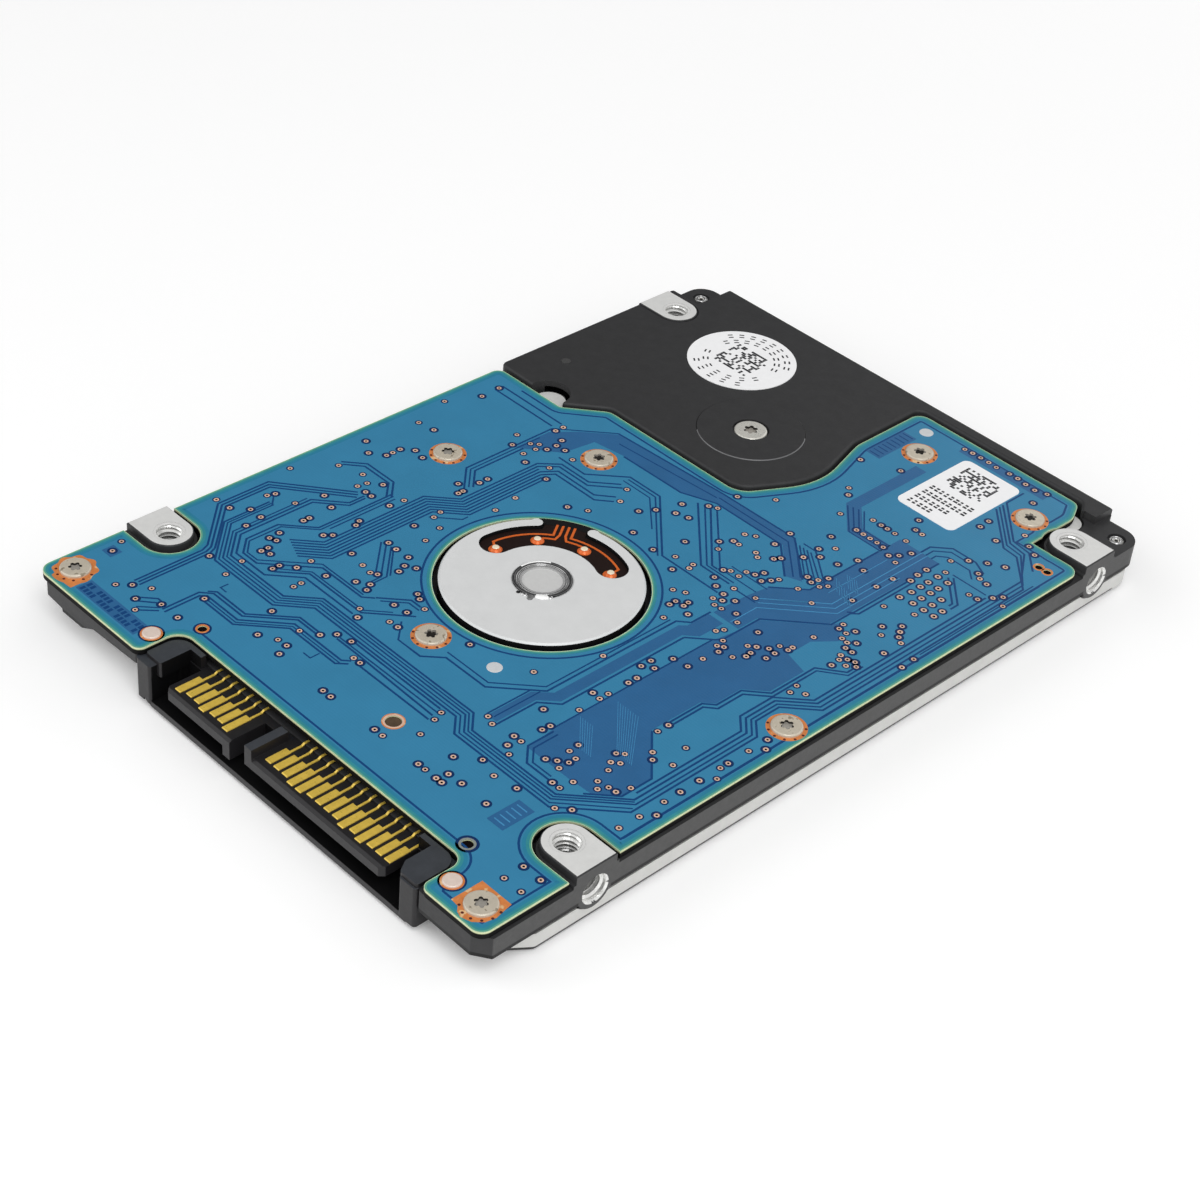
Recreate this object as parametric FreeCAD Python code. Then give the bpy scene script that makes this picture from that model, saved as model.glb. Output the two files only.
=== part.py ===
import FreeCAD, Part
import math
import os

# 2.5-inch hard disk drive, 7 mm high, one platter, serial ATA plug.
# Frame: X across the width, Y along the length with the plug at -Y, +Z out of the circuit board.
# The drive lies on its cover: z = 0 is the outer face of the cover, z = 7 is the plane of the
# four bare screw pads. Origin: centre of the footprint, on the cover's outer face.

# ---------------------------------------------------------------- driving dimensions, mm
WIDTH, LENGTH = 69.85, 100.20
HALF_W = WIDTH / 2
Y_PLUG, Y_FAR = -LENGTH / 2, LENGTH / 2
PAD_TOP = 7.00                     # bare screw pads
HOLE_X = 61.72 / 2                 # bottom screw holes
NEAR_HOLE_Y = Y_PLUG + 14.0
FAR_HOLE_Y = NEAR_HOLE_Y + 76.6
SIDE_Z = PAD_TOP - 3.0             # side screw holes
HOLE_R = 1.50
BOTTOM_DEPTH, SIDE_DEPTH = 2.80, 2.40

BOARD_Z0, BOARD_Z1 = 5.70, 6.50    # circuit board
FLOOR_Z0, FLOOR_Z1 = 4.10, 4.70    # casting floor under the board
RIM_TOP = 5.60                     # casting wall under the board's edge
WALL_Z0 = 2.90                     # lower edge of the casting wall
RAISED_TOP = 6.88                  # raised black part of the casting
POCKET_TOP = 6.08                  # ceiling of the pocket under the raised part

COVER_THICK, COVER_WALL, COVER_TOP = 0.50, 0.90, 2.62
COVER_SEAT = 0.50                  # cover screw heads bear here
LABEL_THICK, COVER_LABEL_Z = 0.06, 0.01
COVER_INSET = 0.42                 # step round the cover's and the casting's meeting edges
SIDE_BOSS_DY = -0.10               # side bosses sit this far from their holes

SPINDLE = (-0.25, -10.50)
PLATTER_R, BORE_R = 32.5, 10.0
PLATTER_Z0, PLATTER_Z1 = 1.90, 2.70
PLATTER_CHAMFER = 0.12
FLANGE_R, WINDOW_R = 11.0, 11.6    # motor flange, window round it in the board

PIVOT = (-6.60, 28.30)             # actuator axis
ARM_REACH = 31.3                   # actuator axis to the heads
PARK_ANGLE = -24.0                 # parked arm, degrees from +X
LATCH = (-30.50, 21.30)

# screw sizes: head radius, head height, shank radius, driver radius
COVER_SCREW = (1.25, .42, .8, .58)
COVER_PIVOT_SCREW = (1.65, .42, 1.0, .7)
BOARD_SCREW = (1.66, .36, .8, .72)
CLAMP_SCREW = (1.05, .38, .6, .5)
PIVOT_SCREW = (1.95, .40, 1.0, .85)
SMALL_SCREW = (1.1, .4, .6, .5)

# ---------------------------------------------------------------- helpers
Vector = FreeCAD.Vector
os.makedirs("parts", exist_ok=True)


def save(name, *shapes):
    solids = [solid for shape in shapes for solid in shape.Solids]
    result = solids[0] if len(solids) == 1 else Part.makeCompound(solids)
    result.exportStep(f"parts/{name}.step")


def rounded_face(corners, z):
    """Flat face from (x, y) or (x, y, fillet radius) corners."""
    points = [Vector(corner[0], corner[1], z) for corner in corners]
    count = len(points)
    turns = []                     # start, middle and end of each corner
    for i, corner in enumerate(corners):
        point = points[i]
        radius = corner[2] if len(corner) > 2 else 0.0
        if radius <= 0:
            turns.append((point, None, point))
            continue
        to_last = (points[i - 1] - point).normalize()
        to_next = (points[(i + 1) % count] - point).normalize()
        half_angle = to_last.getAngle(to_next) / 2
        reach = radius / math.tan(half_angle)
        bisector = (to_last + to_next).normalize()
        centre = point + bisector * (radius / math.sin(half_angle))
        turns.append((point + to_last * reach, centre - bisector * radius,
                      point + to_next * reach))
    edges = []
    for i, (start, middle, end) in enumerate(turns):
        if middle is not None:
            edges.append(Part.Arc(start, middle, end).toShape())
        next_start = turns[(i + 1) % count][0]
        if (next_start - end).Length > 1e-6:
            edges.append(Part.makeLine(end, next_start))
    return Part.Face(Part.Wire(edges))


def prism(corners, z0, z1):
    return rounded_face(corners, z0).extrude(Vector(0, 0, z1 - z0))


def inset_prism(corners, inset, z0, z1):
    face = rounded_face(corners, z0).makeOffset2D(-inset, join=0)
    return face.extrude(Vector(0, 0, z1 - z0))


def rectangle(x0, x1, y0, y1, radius):
    """Corners of a rounded rectangle."""
    return [(x0, y0, radius), (x1, y0, radius), (x1, y1, radius), (x0, y1, radius)]


def box(x0, x1, y0, y1, z0, z1):
    return Part.makeBox(x1 - x0, y1 - y0, z1 - z0, Vector(x0, y0, z0))


def layer(z0, z1):
    """Block larger than the drive's footprint."""
    return box(-40, 40, -60, 60, z0, z1)


def outside(corners, inset, z0, z1):
    """All of a layer that lies outside the inset outline."""
    return layer(z0, z1).cut(inset_prism(corners, inset, z0 - 1, z1 + 1))


def cyl(x, y, r, z0, z1):
    return Part.makeCylinder(r, z1 - z0, Vector(x, y, z0), Vector(0, 0, 1))


def side_cyl(side, x0, x1, y, r):
    """Cylinder along X at the side holes' height; x0 and x1 take the sign of side."""
    start, end = sorted((math.copysign(x0, side), math.copysign(x1, side)))
    return Part.makeCylinder(r, end - start, Vector(start, y, SIDE_Z), Vector(1, 0, 0))


def cone(x, y, r0, r1, z0, z1):
    return Part.makeCone(r0, r1, z1 - z0, Vector(x, y, z0), Vector(0, 0, 1))


def tube(x, y, r_outer, r_inner, z0, z1):
    return cyl(x, y, r_outer, z0, z1).cut(cyl(x, y, r_inner, z0 - 1, z1 + 1))


def polygon_face(points):
    return Part.Face(Part.makePolygon(points + [points[0]]))


def extrude_x(profile, x0, x1):
    """Solid with a (y, z) profile."""
    return polygon_face([Vector(x0, y, z) for y, z in profile]).extrude(Vector(x1 - x0, 0, 0))


def extrude_y(profile, y0, y1):
    """Solid with an (x, z) profile."""
    return polygon_face([Vector(x, y0, z) for x, z in profile]).extrude(Vector(0, y1 - y0, 0))


def revolve(profile, x, y):
    """Solid of revolution from (radius, z) points about the vertical axis at x, y."""
    face = polygon_face([Vector(x + r, y, z) for r, z in profile])
    return face.revolve(Vector(x, y, 0), Vector(0, 0, 1), 360)


def polar(x, y, r, deg):
    return x + r * math.cos(math.radians(deg)), y + r * math.sin(math.radians(deg))


def sector(x, y, r0, r1, a0, a1, z0, z1):
    """Ring sector with straight ends, from angle a0 to a1."""
    middle = (a0 + a1) / 2
    outer = [Vector(*polar(x, y, r1, a), z0) for a in (a0, middle, a1)]
    inner = [Vector(*polar(x, y, r0, a), z0) for a in (a1, middle, a0)]
    edges = [Part.Arc(*outer).toShape(), Part.makeLine(outer[2], inner[0]),
             Part.Arc(*inner).toShape(), Part.makeLine(inner[2], outer[0])]
    return Part.Face(Part.Wire(edges)).extrude(Vector(0, 0, z1 - z0))


def fuse(shapes):
    return shapes[0].multiFuse(shapes[1:]).removeSplitter()


def cut(shape, tools):
    """Cut with two or more tools at once."""
    return shape.cut(tools[0].multiFuse(tools[1:]))


def turned(shape, deg):
    shape = shape.copy()
    shape.rotate(Vector(0, 0, 0), Vector(0, 0, 1), deg)
    return shape


def moved(shape, x, y):
    shape = shape.copy()
    shape.translate(Vector(x, y, 0))
    return shape


def top_edges(shape, z):
    return [edge for edge in shape.Edges if edge.BoundBox.ZMin > z - 1e-6]


def bottom_edges(shape, z):
    return [edge for edge in shape.Edges if edge.BoundBox.ZMax < z + 1e-6]


def eased(shape, edges, radii):
    """Fillet with the first radius that the shape takes."""
    for radius in radii:
        # A radius too large for the outline's corners may fail: go on to the next one.
        try:
            filleted = shape.makeFillet(radius, edges)
            if filleted.isValid():
                return filleted
        except Exception:
            continue
    return shape


def d_block(x, y, r, edge, z0, z1):
    """D-shaped block: round towards the middle, straight to the side of the drive."""
    x_edge = math.copysign(edge, x)
    return fuse([cyl(x, y, r, z0, z1), box(min(x, x_edge), max(x, x_edge), y - r, y + r, z0, z1)])


def driver_recess(x, y, r, z0, z1, deg):
    """Six-lobed driver recess."""
    lobes = [cyl(*polar(x, y, r * .72, deg + 60 * k), r * .28, z0, z1) for k in range(6)]
    return fuse([cyl(x, y, r * .74, z0, z1)] + lobes)


def screw(x, y, seat, tip, size, up=False, deg=0.0):
    """Low-head screw from its seat to its tip; up puts the head above the seat."""
    head_r, head_h, shank_r, driver_r = size
    direction = 1 if up else -1
    end = seat + direction * head_h
    head = cyl(x, y, head_r, *sorted((seat, end)))
    if up:
        head = head.makeFillet(min(head_h * .55, .3), top_edges(head, end))
    else:
        head = head.makeFillet(min(head_h * .5, .15), bottom_edges(head, end))
    body = head.fuse(cyl(x, y, shank_r, *sorted((seat, tip))))
    recess_z = sorted((seat + direction * head_h * .25, end + direction))
    return body.cut(driver_recess(x, y, driver_r, *recess_z, deg)).removeSplitter()


# ---------------------------------------------------------------- shared outlines and places
# Outlines are (x, y, corner radius), anticlockwise from the plug end's -X corner
CASTING_OUTLINE = [
    (-HALF_W, -48.30, .3), (-33.20, -49.90, .3), (-17.40, -49.90, .3), (-17.40, -44.65, .4),
    (25.90, -44.65, .4), (25.90, -49.90, .3), (33.20, -49.95, .2), (HALF_W, -48.75, .2),
    (HALF_W, 48.75, 2.3), (30.10, 48.75, .4), (29.60, Y_FAR, .8), (-30.25, Y_FAR, .8),
    (-30.75, 48.95, .4), (-34.35, 48.95, 2.4), (-34.35, 44.80, .7), (-HALF_W, 43.60, .7)]
BOARD_OUTLINE = [
    (-34.55, Y_PLUG, 1.5), (-16.90, Y_PLUG, 1.0), (-16.90, -44.70, 1.9), (26.30, -44.70, 1.5),
    (26.30, Y_PLUG, 1.0), (34.60, Y_PLUG, 1.3), (34.60, 37.30, 1.5), (27.90, 37.30),
    (27.90, 44.8, 3.0), (26.50, 47.60, 1.4), (2.90, 47.60, 1.5), (2.90, 36.30, 5.0),
    (5.55, 27.0, 10.0), (1.00, 18.25, 3.0), (-19.60, 18.22, 1.5), (-23.95, 14.25, 1.2),
    (-34.55, 14.25, 1.2)]
COVER_OUTLINE = [
    (-34.55, -43.1, .8), (-32.0, -46.7, .8), (-18.0, -46.7, .5), (-17.35, -44.5, .4),
    (25.85, -44.5, .4), (26.5, -46.7, .5), (32.0, -46.7, .8), (34.55, -43.1, .8),
    (34.55, 48.6, 2.1), (-34.2, 48.6, 2.1), (-34.2, 44.6, .7), (-34.55, 43.9, .7)]
# raised part of the casting: along the board, with the curve beside the actuator, then round
# outside the casting, which trims it
RAISED_OUTLINE = [
    (-HALF_W, 14.75, .8), (-24.10, 14.65, 1.2), (-19.75, 18.62, 1.6), (.70, 18.68, 3.0),
    (5.12, 27.0, 10.0), (2.50, 36.2, 5.0), (2.50, 48.0, 1.3), (26.7, 48.0, 1.2),
    (28.25, 45.6, 1.6), (28.25, 43.35, .6), (HALF_W + 1, 43.35), (HALF_W, Y_FAR + 1),
    (-HALF_W, Y_FAR + 1)]

# x, y
BOARD_SCREWS = [(-31.9, -47.2), (31.65, -47.4), (-24.6, -2.5), (-13.3, 10.3), (8.5, 40.9),
                (24.9, 40.7), (32.2, -7.5), (-.6, -25.6)]
# x, y, z of the tip
COVER_SCREWS = [(32.9, 46.45, 5.62), (-32.2, 46.4, 5.82), (31.2, -42.0, 3.6),
                (-31.2, -42.0, 3.6), (31.4, 28.4, 3.6), (-31.4, 15.9, 3.6)]
PADS = [(x, y) for x in (-HOLE_X, HOLE_X) for y in (NEAR_HOLE_Y, FAR_HOLE_Y)]
PEGS = [(-18.3, -47.4), (27.7, -47.4)]
RAMP_SCREW = (29.3, 23.0)
BRACKET_SCREWS = [(10.6, 39.7), (22.8, 39.2)]
ROUND_POCKET = (27.15, 44.72)      # in the casting's raised part
VENT = (20.0, 36.0)

# ---------------------------------------------------------------- base casting
PLATTER_ROOM_R = 33.1
ARM_ROOM = [
    (-33.05, 3.0, 2), (33.05, 3.0, 2), (33.05, 36.3, 2), (27.1, 36.3, 1), (27.1, 48.2, 1.5),
    (-29.4, 48.2, 1.5), (-29.4, 44.8, 1), (-27.0, 44.0, 1), (-27.0, 36.6, 1), (-33.05, 36.6, 2)]
COIL_ROOM = [
    (-32.9, 16.4, 1.5), (-25.2, 16.4, 1.0), (-20.6, 20.1, 1.0), (-.6, 20.1, 2.5),
    (3.2, 27.2, 6.0), (1.1, 35.6, 3.0), (1.1, 47.9, 1.5), (-29.0, 47.9, 1.5),
    (-29.0, 45.1, 1.0), (-26.6, 44.2, 1.0), (-26.6, 36.3, 1.0), (-32.9, 36.3, 1.5)]
SCREW_BORE_R, SMALL_BORE_R = .82, .62
SCREW_BORE_Z, SMALL_BORE_Z = 4.42, 4.42    # end of the blind bores
COVER_POST_R = 1.4
MOUTH_BOTTOM, MOUTH_SIDE = .22, .20        # countersinks of the outer screw holes


def raised_part():
    raised = prism(RAISED_OUTLINE, FLOOR_Z1, RAISED_TOP).common(prism(CASTING_OUTLINE, 0, 10))
    raised = raised.removeSplitter()
    raised = eased(raised, top_edges(raised, RAISED_TOP), (.34, .30, .26, .2))
    bevel = [(Y_FAR - .6, RAISED_TOP + .01), (Y_FAR + .5, RAISED_TOP + .01),
             (Y_FAR + .5, RAISED_TOP - 1.09)]
    # lower shelves in the two far corners, where the cover screws come through
    return cut(raised, [box(28.0, 36, 43.3, 46.65, 5.85, 8), box(29.6, 36, 46.6, 52, 5.85, 8),
                        box(-36, -30.3, 43.75, 52, 6.0, 8), extrude_x(bevel, -40, 40)])


def bare_pad(x, y):
    pad = d_block(x, y, 2.58, HALF_W, 5.8, PAD_TOP)
    # The D's straight sides meet its arc tangentially; if the chamfer fails the pad stays sharp.
    try:
        pad = pad.makeChamfer(.12, top_edges(pad, PAD_TOP))
    except Exception:
        pass
    return pad


def casting_shell():
    """Floor, wall, raised part and pads, still without the cavity and holes."""
    outline = prism(CASTING_OUTLINE, WALL_Z0, 10)
    floor = outline.common(layer(WALL_Z0, FLOOR_Z1))
    rim = outline.common(layer(FLOOR_Z1, RIM_TOP))
    rim = rim.cut(inset_prism(CASTING_OUTLINE, 1.15, FLOOR_Z1, FLOOR_Z1 + 2))
    rim = rim.cut(box(-17.45, 25.95, -47, -42, 4, 8))      # open at the plug
    solids = [floor, rim, raised_part()]
    solids += [d_block(x, y, 2.9, HALF_W, 3.0, 6.0) for x, y in PADS]
    solids += [cyl(x, y, 2.0, FLOOR_Z1 - .1, BOARD_Z0).common(prism(CASTING_OUTLINE, 0, 10))
               for x, y in BOARD_SCREWS]
    body = fuse(solids)
    # slot round the far -X pad, and the round pocket
    body = cut(body, [d_block(-HOLE_X, FAR_HOLE_Y, 2.74, HALF_W + 1, 6.62, 8),
                      cyl(*ROUND_POCKET, 1.95, 5.3, 8)])
    # step round the wall's lower edge
    body = body.cut(outside(CASTING_OUTLINE, COVER_INSET, WALL_Z0 - .1, WALL_Z0 + .16))
    pivot_disc = cyl(*PIVOT, 6.4, RAISED_TOP - .4, RAISED_TOP).fuse(
        cone(*PIVOT, 6.4, 6.3, RAISED_TOP, RAISED_TOP + .08))
    body = fuse([body] + [bare_pad(x, y) for x, y in PADS]
                + [cyl(*ROUND_POCKET, 1.75, 5.0, 5.66), pivot_disc])
    # round bosses of the side holes, reaching below the wall
    for x, y in PADS:
        body = body.fuse(side_cyl(x, 32.2, HALF_W, y + SIDE_BOSS_DY, 2.15))
    return body


def hollowed(body):
    """Cut the rooms for the platter, arm and coil, leaving the pads and screw posts."""
    keep = [d_block(x, y, 3.1, HALF_W, 0, 9) for x, y in PADS]
    keep += [cyl(x, y, COVER_POST_R, 0, 9) for x, y, tip in COVER_SCREWS]
    platter_room = cyl(*SPINDLE, PLATTER_ROOM_R, WALL_Z0 - 1, FLOOR_Z0)
    platter_room = platter_room.common(box(-33.35, 33.35, -60, 60, 0, 9))
    arm_room = prism(ARM_ROOM, WALL_Z0 - 1, FLOOR_Z0)
    coil_room = prism(COIL_ROOM, WALL_Z0 - 1, POCKET_TOP)
    for room in (platter_room, arm_room, coil_room):
        body = body.cut(cut(room, keep))
    return body


def casting_cuts():
    cuts = []
    for x, y in PADS:                      # outer screw holes, with a countersunk mouth
        side = math.copysign(1, x)
        cuts += [cyl(x, y, HOLE_R, PAD_TOP - BOTTOM_DEPTH, 8),
                 cone(x, y, HOLE_R, HOLE_R + MOUTH_BOTTOM, PAD_TOP - MOUTH_BOTTOM, PAD_TOP),
                 side_cyl(x, HALF_W - SIDE_DEPTH, HALF_W + 1, y, HOLE_R),
                 Part.makeCone(HOLE_R + MOUTH_SIDE, HOLE_R, MOUTH_SIDE,
                               Vector(side * HALF_W, y, SIDE_Z), Vector(-side, 0, 0))]
    cuts += [cyl(x, y, SCREW_BORE_R, SCREW_BORE_Z, 8) for x, y in BOARD_SCREWS]
    for x, y, tip in COVER_SCREWS:
        through = tip > 4                  # the two far corners
        cuts.append(cyl(x, y, SCREW_BORE_R, 0, 9 if through else tip + .05))
        if through:
            cuts.append(cyl(x, y, 1.05, tip - .12, 9))
    cuts += [cyl(x, y, SMALL_BORE_R, 3, SMALL_BORE_Z) for x, y in BRACKET_SCREWS + [RAMP_SCREW]]
    cuts += [
        cyl(*SPINDLE, FLANGE_R + .02, 2, 9),           # opening for the motor
        box(10.05, 24.15, 44.75, 47.15, 3, 5.2),       # opening for the head connector
        cyl(*PIVOT, 2.15, 6.52, 8),                    # pivot screw
        cyl(*PIVOT, 1.05, 5, 8),
        cyl(*LATCH, SMALL_BORE_R, 5, 8),               # latch pin
        cyl(-26.7, 14.95, 2.6, 5.2, 8),                # scallop beside the board
        box(-20.1, -17.2, -49.0, -45.6, 4.45, 6),      # room for the plug's ears
        box(25.7, 29.25, -49.0, -45.6, 4.45, 6)]
    # sculpted lower side of the wall, -X end of the plug end
    for profile in ([(-36, 2.0), (-36, 3.95), (-33.6, 3.75), (-30.6, 3.45), (-30.3, 2.0)],
                    [(-27.4, 2.0), (-27.4, 2.9), (-25, 4.1), (-17, 4.45), (-17, 2.0)]):
        cuts.append(extrude_y(profile, -51, -47.6))
    return cuts


def base_casting():
    body = hollowed(casting_shell())
    # posts that reach down to the cover and to the bracket
    posts = [cyl(x, y, COVER_POST_R, 1.0, WALL_Z0 + .3) for x, y, tip in COVER_SCREWS]
    posts += [cyl(x, y, 1.4, 3.60, FLOOR_Z0 + .1) for x, y in BRACKET_SCREWS]
    body = cut(fuse([body] + posts), casting_cuts())
    return fuse([body, cyl(-26.7, 15.2, 1.9, 5.0, 5.62)])  # bare disc in the scallop


save("base_casting", base_casting())


# ---------------------------------------------------------------- cover and what goes with it
def cover_clearances():
    """Notches for the casting's side bosses and room for its screw posts."""
    notches = [side_cyl(x, 32.1, 36, y + SIDE_BOSS_DY, 2.2) for x, y in PADS]
    return notches + [cyl(x, y, 1.45, 1.0, 9) for x, y, tip in COVER_SCREWS]


def top_cover():
    blank = prism(COVER_OUTLINE, 0, COVER_TOP)
    low_edges = bottom_edges(blank, 0)
    # The fillet may fail at the outline's small corners; a chamfer then takes its place.
    try:
        tray = blank.makeFillet(.7, low_edges)
    except Exception:
        tray = blank.makeChamfer(.5, low_edges)
    tray = tray.cut(inset_prism(COVER_OUTLINE, COVER_WALL, COVER_THICK, COVER_THICK + 4))
    dimples = [cyl(x, y, 2.1, .4, 1.0) for x, y, tip in COVER_SCREWS] + [cyl(*PIVOT, 2.4, .4, 1.0)]
    limit = prism(COVER_OUTLINE, 0, COVER_TOP)
    tray = fuse([tray] + [dimple.common(limit) for dimple in dimples])
    tray = tray.cut(outside(COVER_OUTLINE, COVER_INSET, COVER_TOP - .3, COVER_TOP + 1))
    cuts = [cyl(x, y, 1.35, -1, COVER_SEAT) for x, y, tip in COVER_SCREWS]
    cuts += [cyl(x, y, .95, -1, 2) for x, y, tip in COVER_SCREWS]
    cuts += cover_clearances()
    cuts += [cyl(*PIVOT, 1.8, -1, COVER_SEAT), cyl(*PIVOT, 1.1, -1, 2),
             cyl(*VENT, .5, -1, 2),
             prism(rectangle(-28.1, 28.1, -38.1, 22.1, 2), -1, .08)]   # label recess
    return cut(tray, cuts)


save("top_cover", top_cover())
save("cover_label", prism(rectangle(-28, 28, -38, 22, 1.95),
                          COVER_LABEL_Z, COVER_LABEL_Z + LABEL_THICK))
save("cover_gasket", cut(inset_prism(COVER_OUTLINE, .47, COVER_TOP, WALL_Z0),
                         [inset_prism(COVER_OUTLINE, .88, COVER_TOP - 1, COVER_TOP + 3)]
                         + cover_clearances()))
save("cover_screws",
     *[screw(x, y, COVER_SEAT, tip, COVER_SCREW, deg=17 * i)
       for i, (x, y, tip) in enumerate(COVER_SCREWS)],
     screw(*PIVOT, COVER_SEAT, 2.6, COVER_PIVOT_SCREW, deg=8))
save("breather_filter", tube(*VENT, 3.2, .6, COVER_THICK, 1.5))

# ---------------------------------------------------------------- circuit board
# x, y, radius
SMALL_BOARD_HOLES = [(-15.8, -42.95, .5), (24.9, -43.1, .6), (7.3, -37.2, .85),
                     (31.2, 34.3, .45), (32.35, 34.3, .45)]
INSULATOR_OUTLINE = [
    (-33.6, -43.6, 1), (33.4, -43.6, 1), (33.4, 35.6, 1), (26.6, 36.6, 1), (26.6, 43.5, 1),
    (3.9, 43.5, 1), (3.9, 36.3, 4), (6.4, 27.0, 9), (1.6, 17.3, 3), (-19.2, 17.3, 1),
    (-23.5, 13.3, 1), (-33.6, 13.3, 1)]


def circuit_board():
    cuts = [cyl(*SPINDLE, WINDOW_R, 5, 8), cyl(HOLE_X, FAR_HOLE_Y, 3.25, 5, 8)]
    cuts += [d_block(x, NEAR_HOLE_Y, 3.25, 36, 5, 8) for x in (-HOLE_X, HOLE_X)]
    cuts += [cyl(x, y, 1.0, 5, 8) for x, y in BOARD_SCREWS]
    cuts += [cyl(x, y, .98, 5, 8) for x, y in PEGS]
    cuts += [cyl(x, y, r, 5, 8) for x, y, r in SMALL_BOARD_HOLES]
    return cut(prism(BOARD_OUTLINE, BOARD_Z0, BOARD_Z1), cuts)


def board_insulator():
    cuts = [cyl(*SPINDLE, 12.2, 4, 6)]
    cuts += [d_block(x, NEAR_HOLE_Y, 3.6, 36, 4, 6) for x in (-HOLE_X, HOLE_X)]
    cuts += [cyl(x, y, 2.3, 4, 6) for x, y in BOARD_SCREWS]
    return cut(prism(INSULATOR_OUTLINE, FLOOR_Z1, FLOOR_Z1 + .12), cuts)


save("circuit_board", circuit_board())
save("board_screws", *[screw(x, y, BOARD_Z1, 4.5, BOARD_SCREW, up=True, deg=23 * i)
                       for i, (x, y) in enumerate(BOARD_SCREWS)])
save("board_insulator", board_insulator())

SOLDER_THICK = .08
LEAD_PITCH, LEAD_HALF_W, LEAD_THICK = 1.27, .2, .2


def chip(x, y, width, depth, height, deg=0.0, lead=0.0):
    """Moulded package under the board with its solder layer; leads on two sides if lead > 0."""
    base = BOARD_Z0 - height
    body = box(-width / 2, width / 2, -depth / 2, depth / 2, base, BOARD_Z0 - SOLDER_THICK)
    body = body.makeChamfer(.1, bottom_edges(body, base))
    metal = [box(-width / 2 + .3, width / 2 - .3, -depth / 2 + .3, depth / 2 - .3,
                 BOARD_Z0 - SOLDER_THICK, BOARD_Z0)]
    if lead:
        count = int(width / LEAD_PITCH)
        for k in range(count):
            lead_x = (k - (count - 1) / 2) * LEAD_PITCH
            for side in (-1, 1):
                y0, y1 = sorted((side * (depth / 2 - .1), side * (depth / 2 + lead)))
                metal.append(box(lead_x - LEAD_HALF_W, lead_x + LEAD_HALF_W, y0, y1,
                                 BOARD_Z0 - LEAD_THICK, BOARD_Z0))
    return moved(turned(fuse([body] + metal), deg), x, y)


save("controller_chip", chip(15.2, 7.6, 12.0, 12.0, .8))
save("memory_chip", chip(23.2, -13.2, 8.0, 12.5, .8))
save("motor_driver_chip", chip(26.6, 20.9, 7.4, 7.4, .8, deg=45))
save("flash_chip", chip(-26.6, -13.8, 5.0, 4.0, .75, lead=.7))
save("crystal_resonator", chip(8.6, -31.6, 3.2, 2.5, .6))
save("shock_sensors", chip(-29.6, -29.0, 3.2, 1.6, .75, deg=45),
     chip(29.3, 30.6, 3.2, 1.6, .75, deg=-45))

# size number: length, width, height
PASSIVE_SIZES = {1: (1.6, .8, .45), 2: (2.0, 1.25, .7)}
# x, y, degrees, size number
PASSIVES = [
    (-6, -31, 0, 2), (-2.5, -31, 0, 2), (2.5, -31.2, 90, 2), (5.2, -34.5, 0, 1),
    (-10, -30, 90, 1), (-14, -34, 0, 1), (-18, -37, 90, 2), (-22, -33, 0, 1),
    (-27, -38, 0, 2), (12.5, -34, 90, 2), (16.5, -33, 0, 1), (20.5, -31.5, 90, 1),
    (24, -34.5, 0, 2), (29.6, -30.8, 90, 1), (-30.5, -20, 90, 1), (-22, -20.5, 0, 1),
    (-17, -15, 90, 1), (-18, -5, 0, 2), (-29.5, 2.0, 0, 2), (-24, 5.5, 90, 1),
    (-17.5, 6.2, 0, 1), (-9, 5.5, 90, 1), (-4, 10.5, 0, 2), (2.5, 8.5, 90, 1),
    (5.6, 13.5, 0, 1), (8, 20.5, 90, 2), (14.5, 18.5, 0, 1), (18.5, 24.5, 90, 2),
    (12, 27.5, 0, 1), (22.5, 29.5, 0, 2), (9.5, 32.5, 90, 1), (17, 35.2, 0, 1),
    (29, 11.5, 90, 2), (30.3, 3.5, 0, 1), (30.2, -16, 90, 2), (16.2, -20.5, 90, 2),
    (15.2, -26.5, 0, 1), (18.2, -3.2, 0, 1), (24.5, -2.5, 90, 1), (-14, -25.5, 0, 1)]


def passive(x, y, deg, size):
    length, width, height = PASSIVE_SIZES[size]
    body = box(-length / 2, length / 2, -width / 2, width / 2, BOARD_Z0 - height, BOARD_Z0)
    return moved(turned(body, deg), x, y)


save("board_passives", *[passive(*entry) for entry in PASSIVES])
save("board_label", prism(rectangle(12.7, 20.9, 31.6, 44.4, .9), BOARD_Z1, BOARD_Z1 + LABEL_THICK))
save("round_label", cyl(-17.8, 38.55, 6.65, RAISED_TOP, RAISED_TOP + .07))

# ---------------------------------------------------------------- serial ATA plug
TONGUE_Z0, TONGUE_Z1 = 3.32, 4.55
SIGNAL_X0, SIGNAL_X1 = -12.45, -2.04       # signal tongue
POWER_X0, POWER_X1 = .37, 20.94            # power tongue
CONTACT_PITCH = 1.27
LONG_CONTACT_Y, SHORT_CONTACT_Y = -49.35, -48.95
PEG_TOP = BOARD_Z1 + .22
# y, z of a contact's narrow tail, from the tongue up to the board
CONTACT_TAIL = [
    (-46.6, 4.56), (-44.98, 4.56), (-44.68, 4.76), (-43.75, 4.76), (-43.45, 5.52),
    (-43.2, 5.52), (-43.2, 5.62), (-43.52, 5.62), (-43.82, 4.86), (-44.72, 4.86),
    (-45.02, 4.66), (-46.6, 4.66)]
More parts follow.
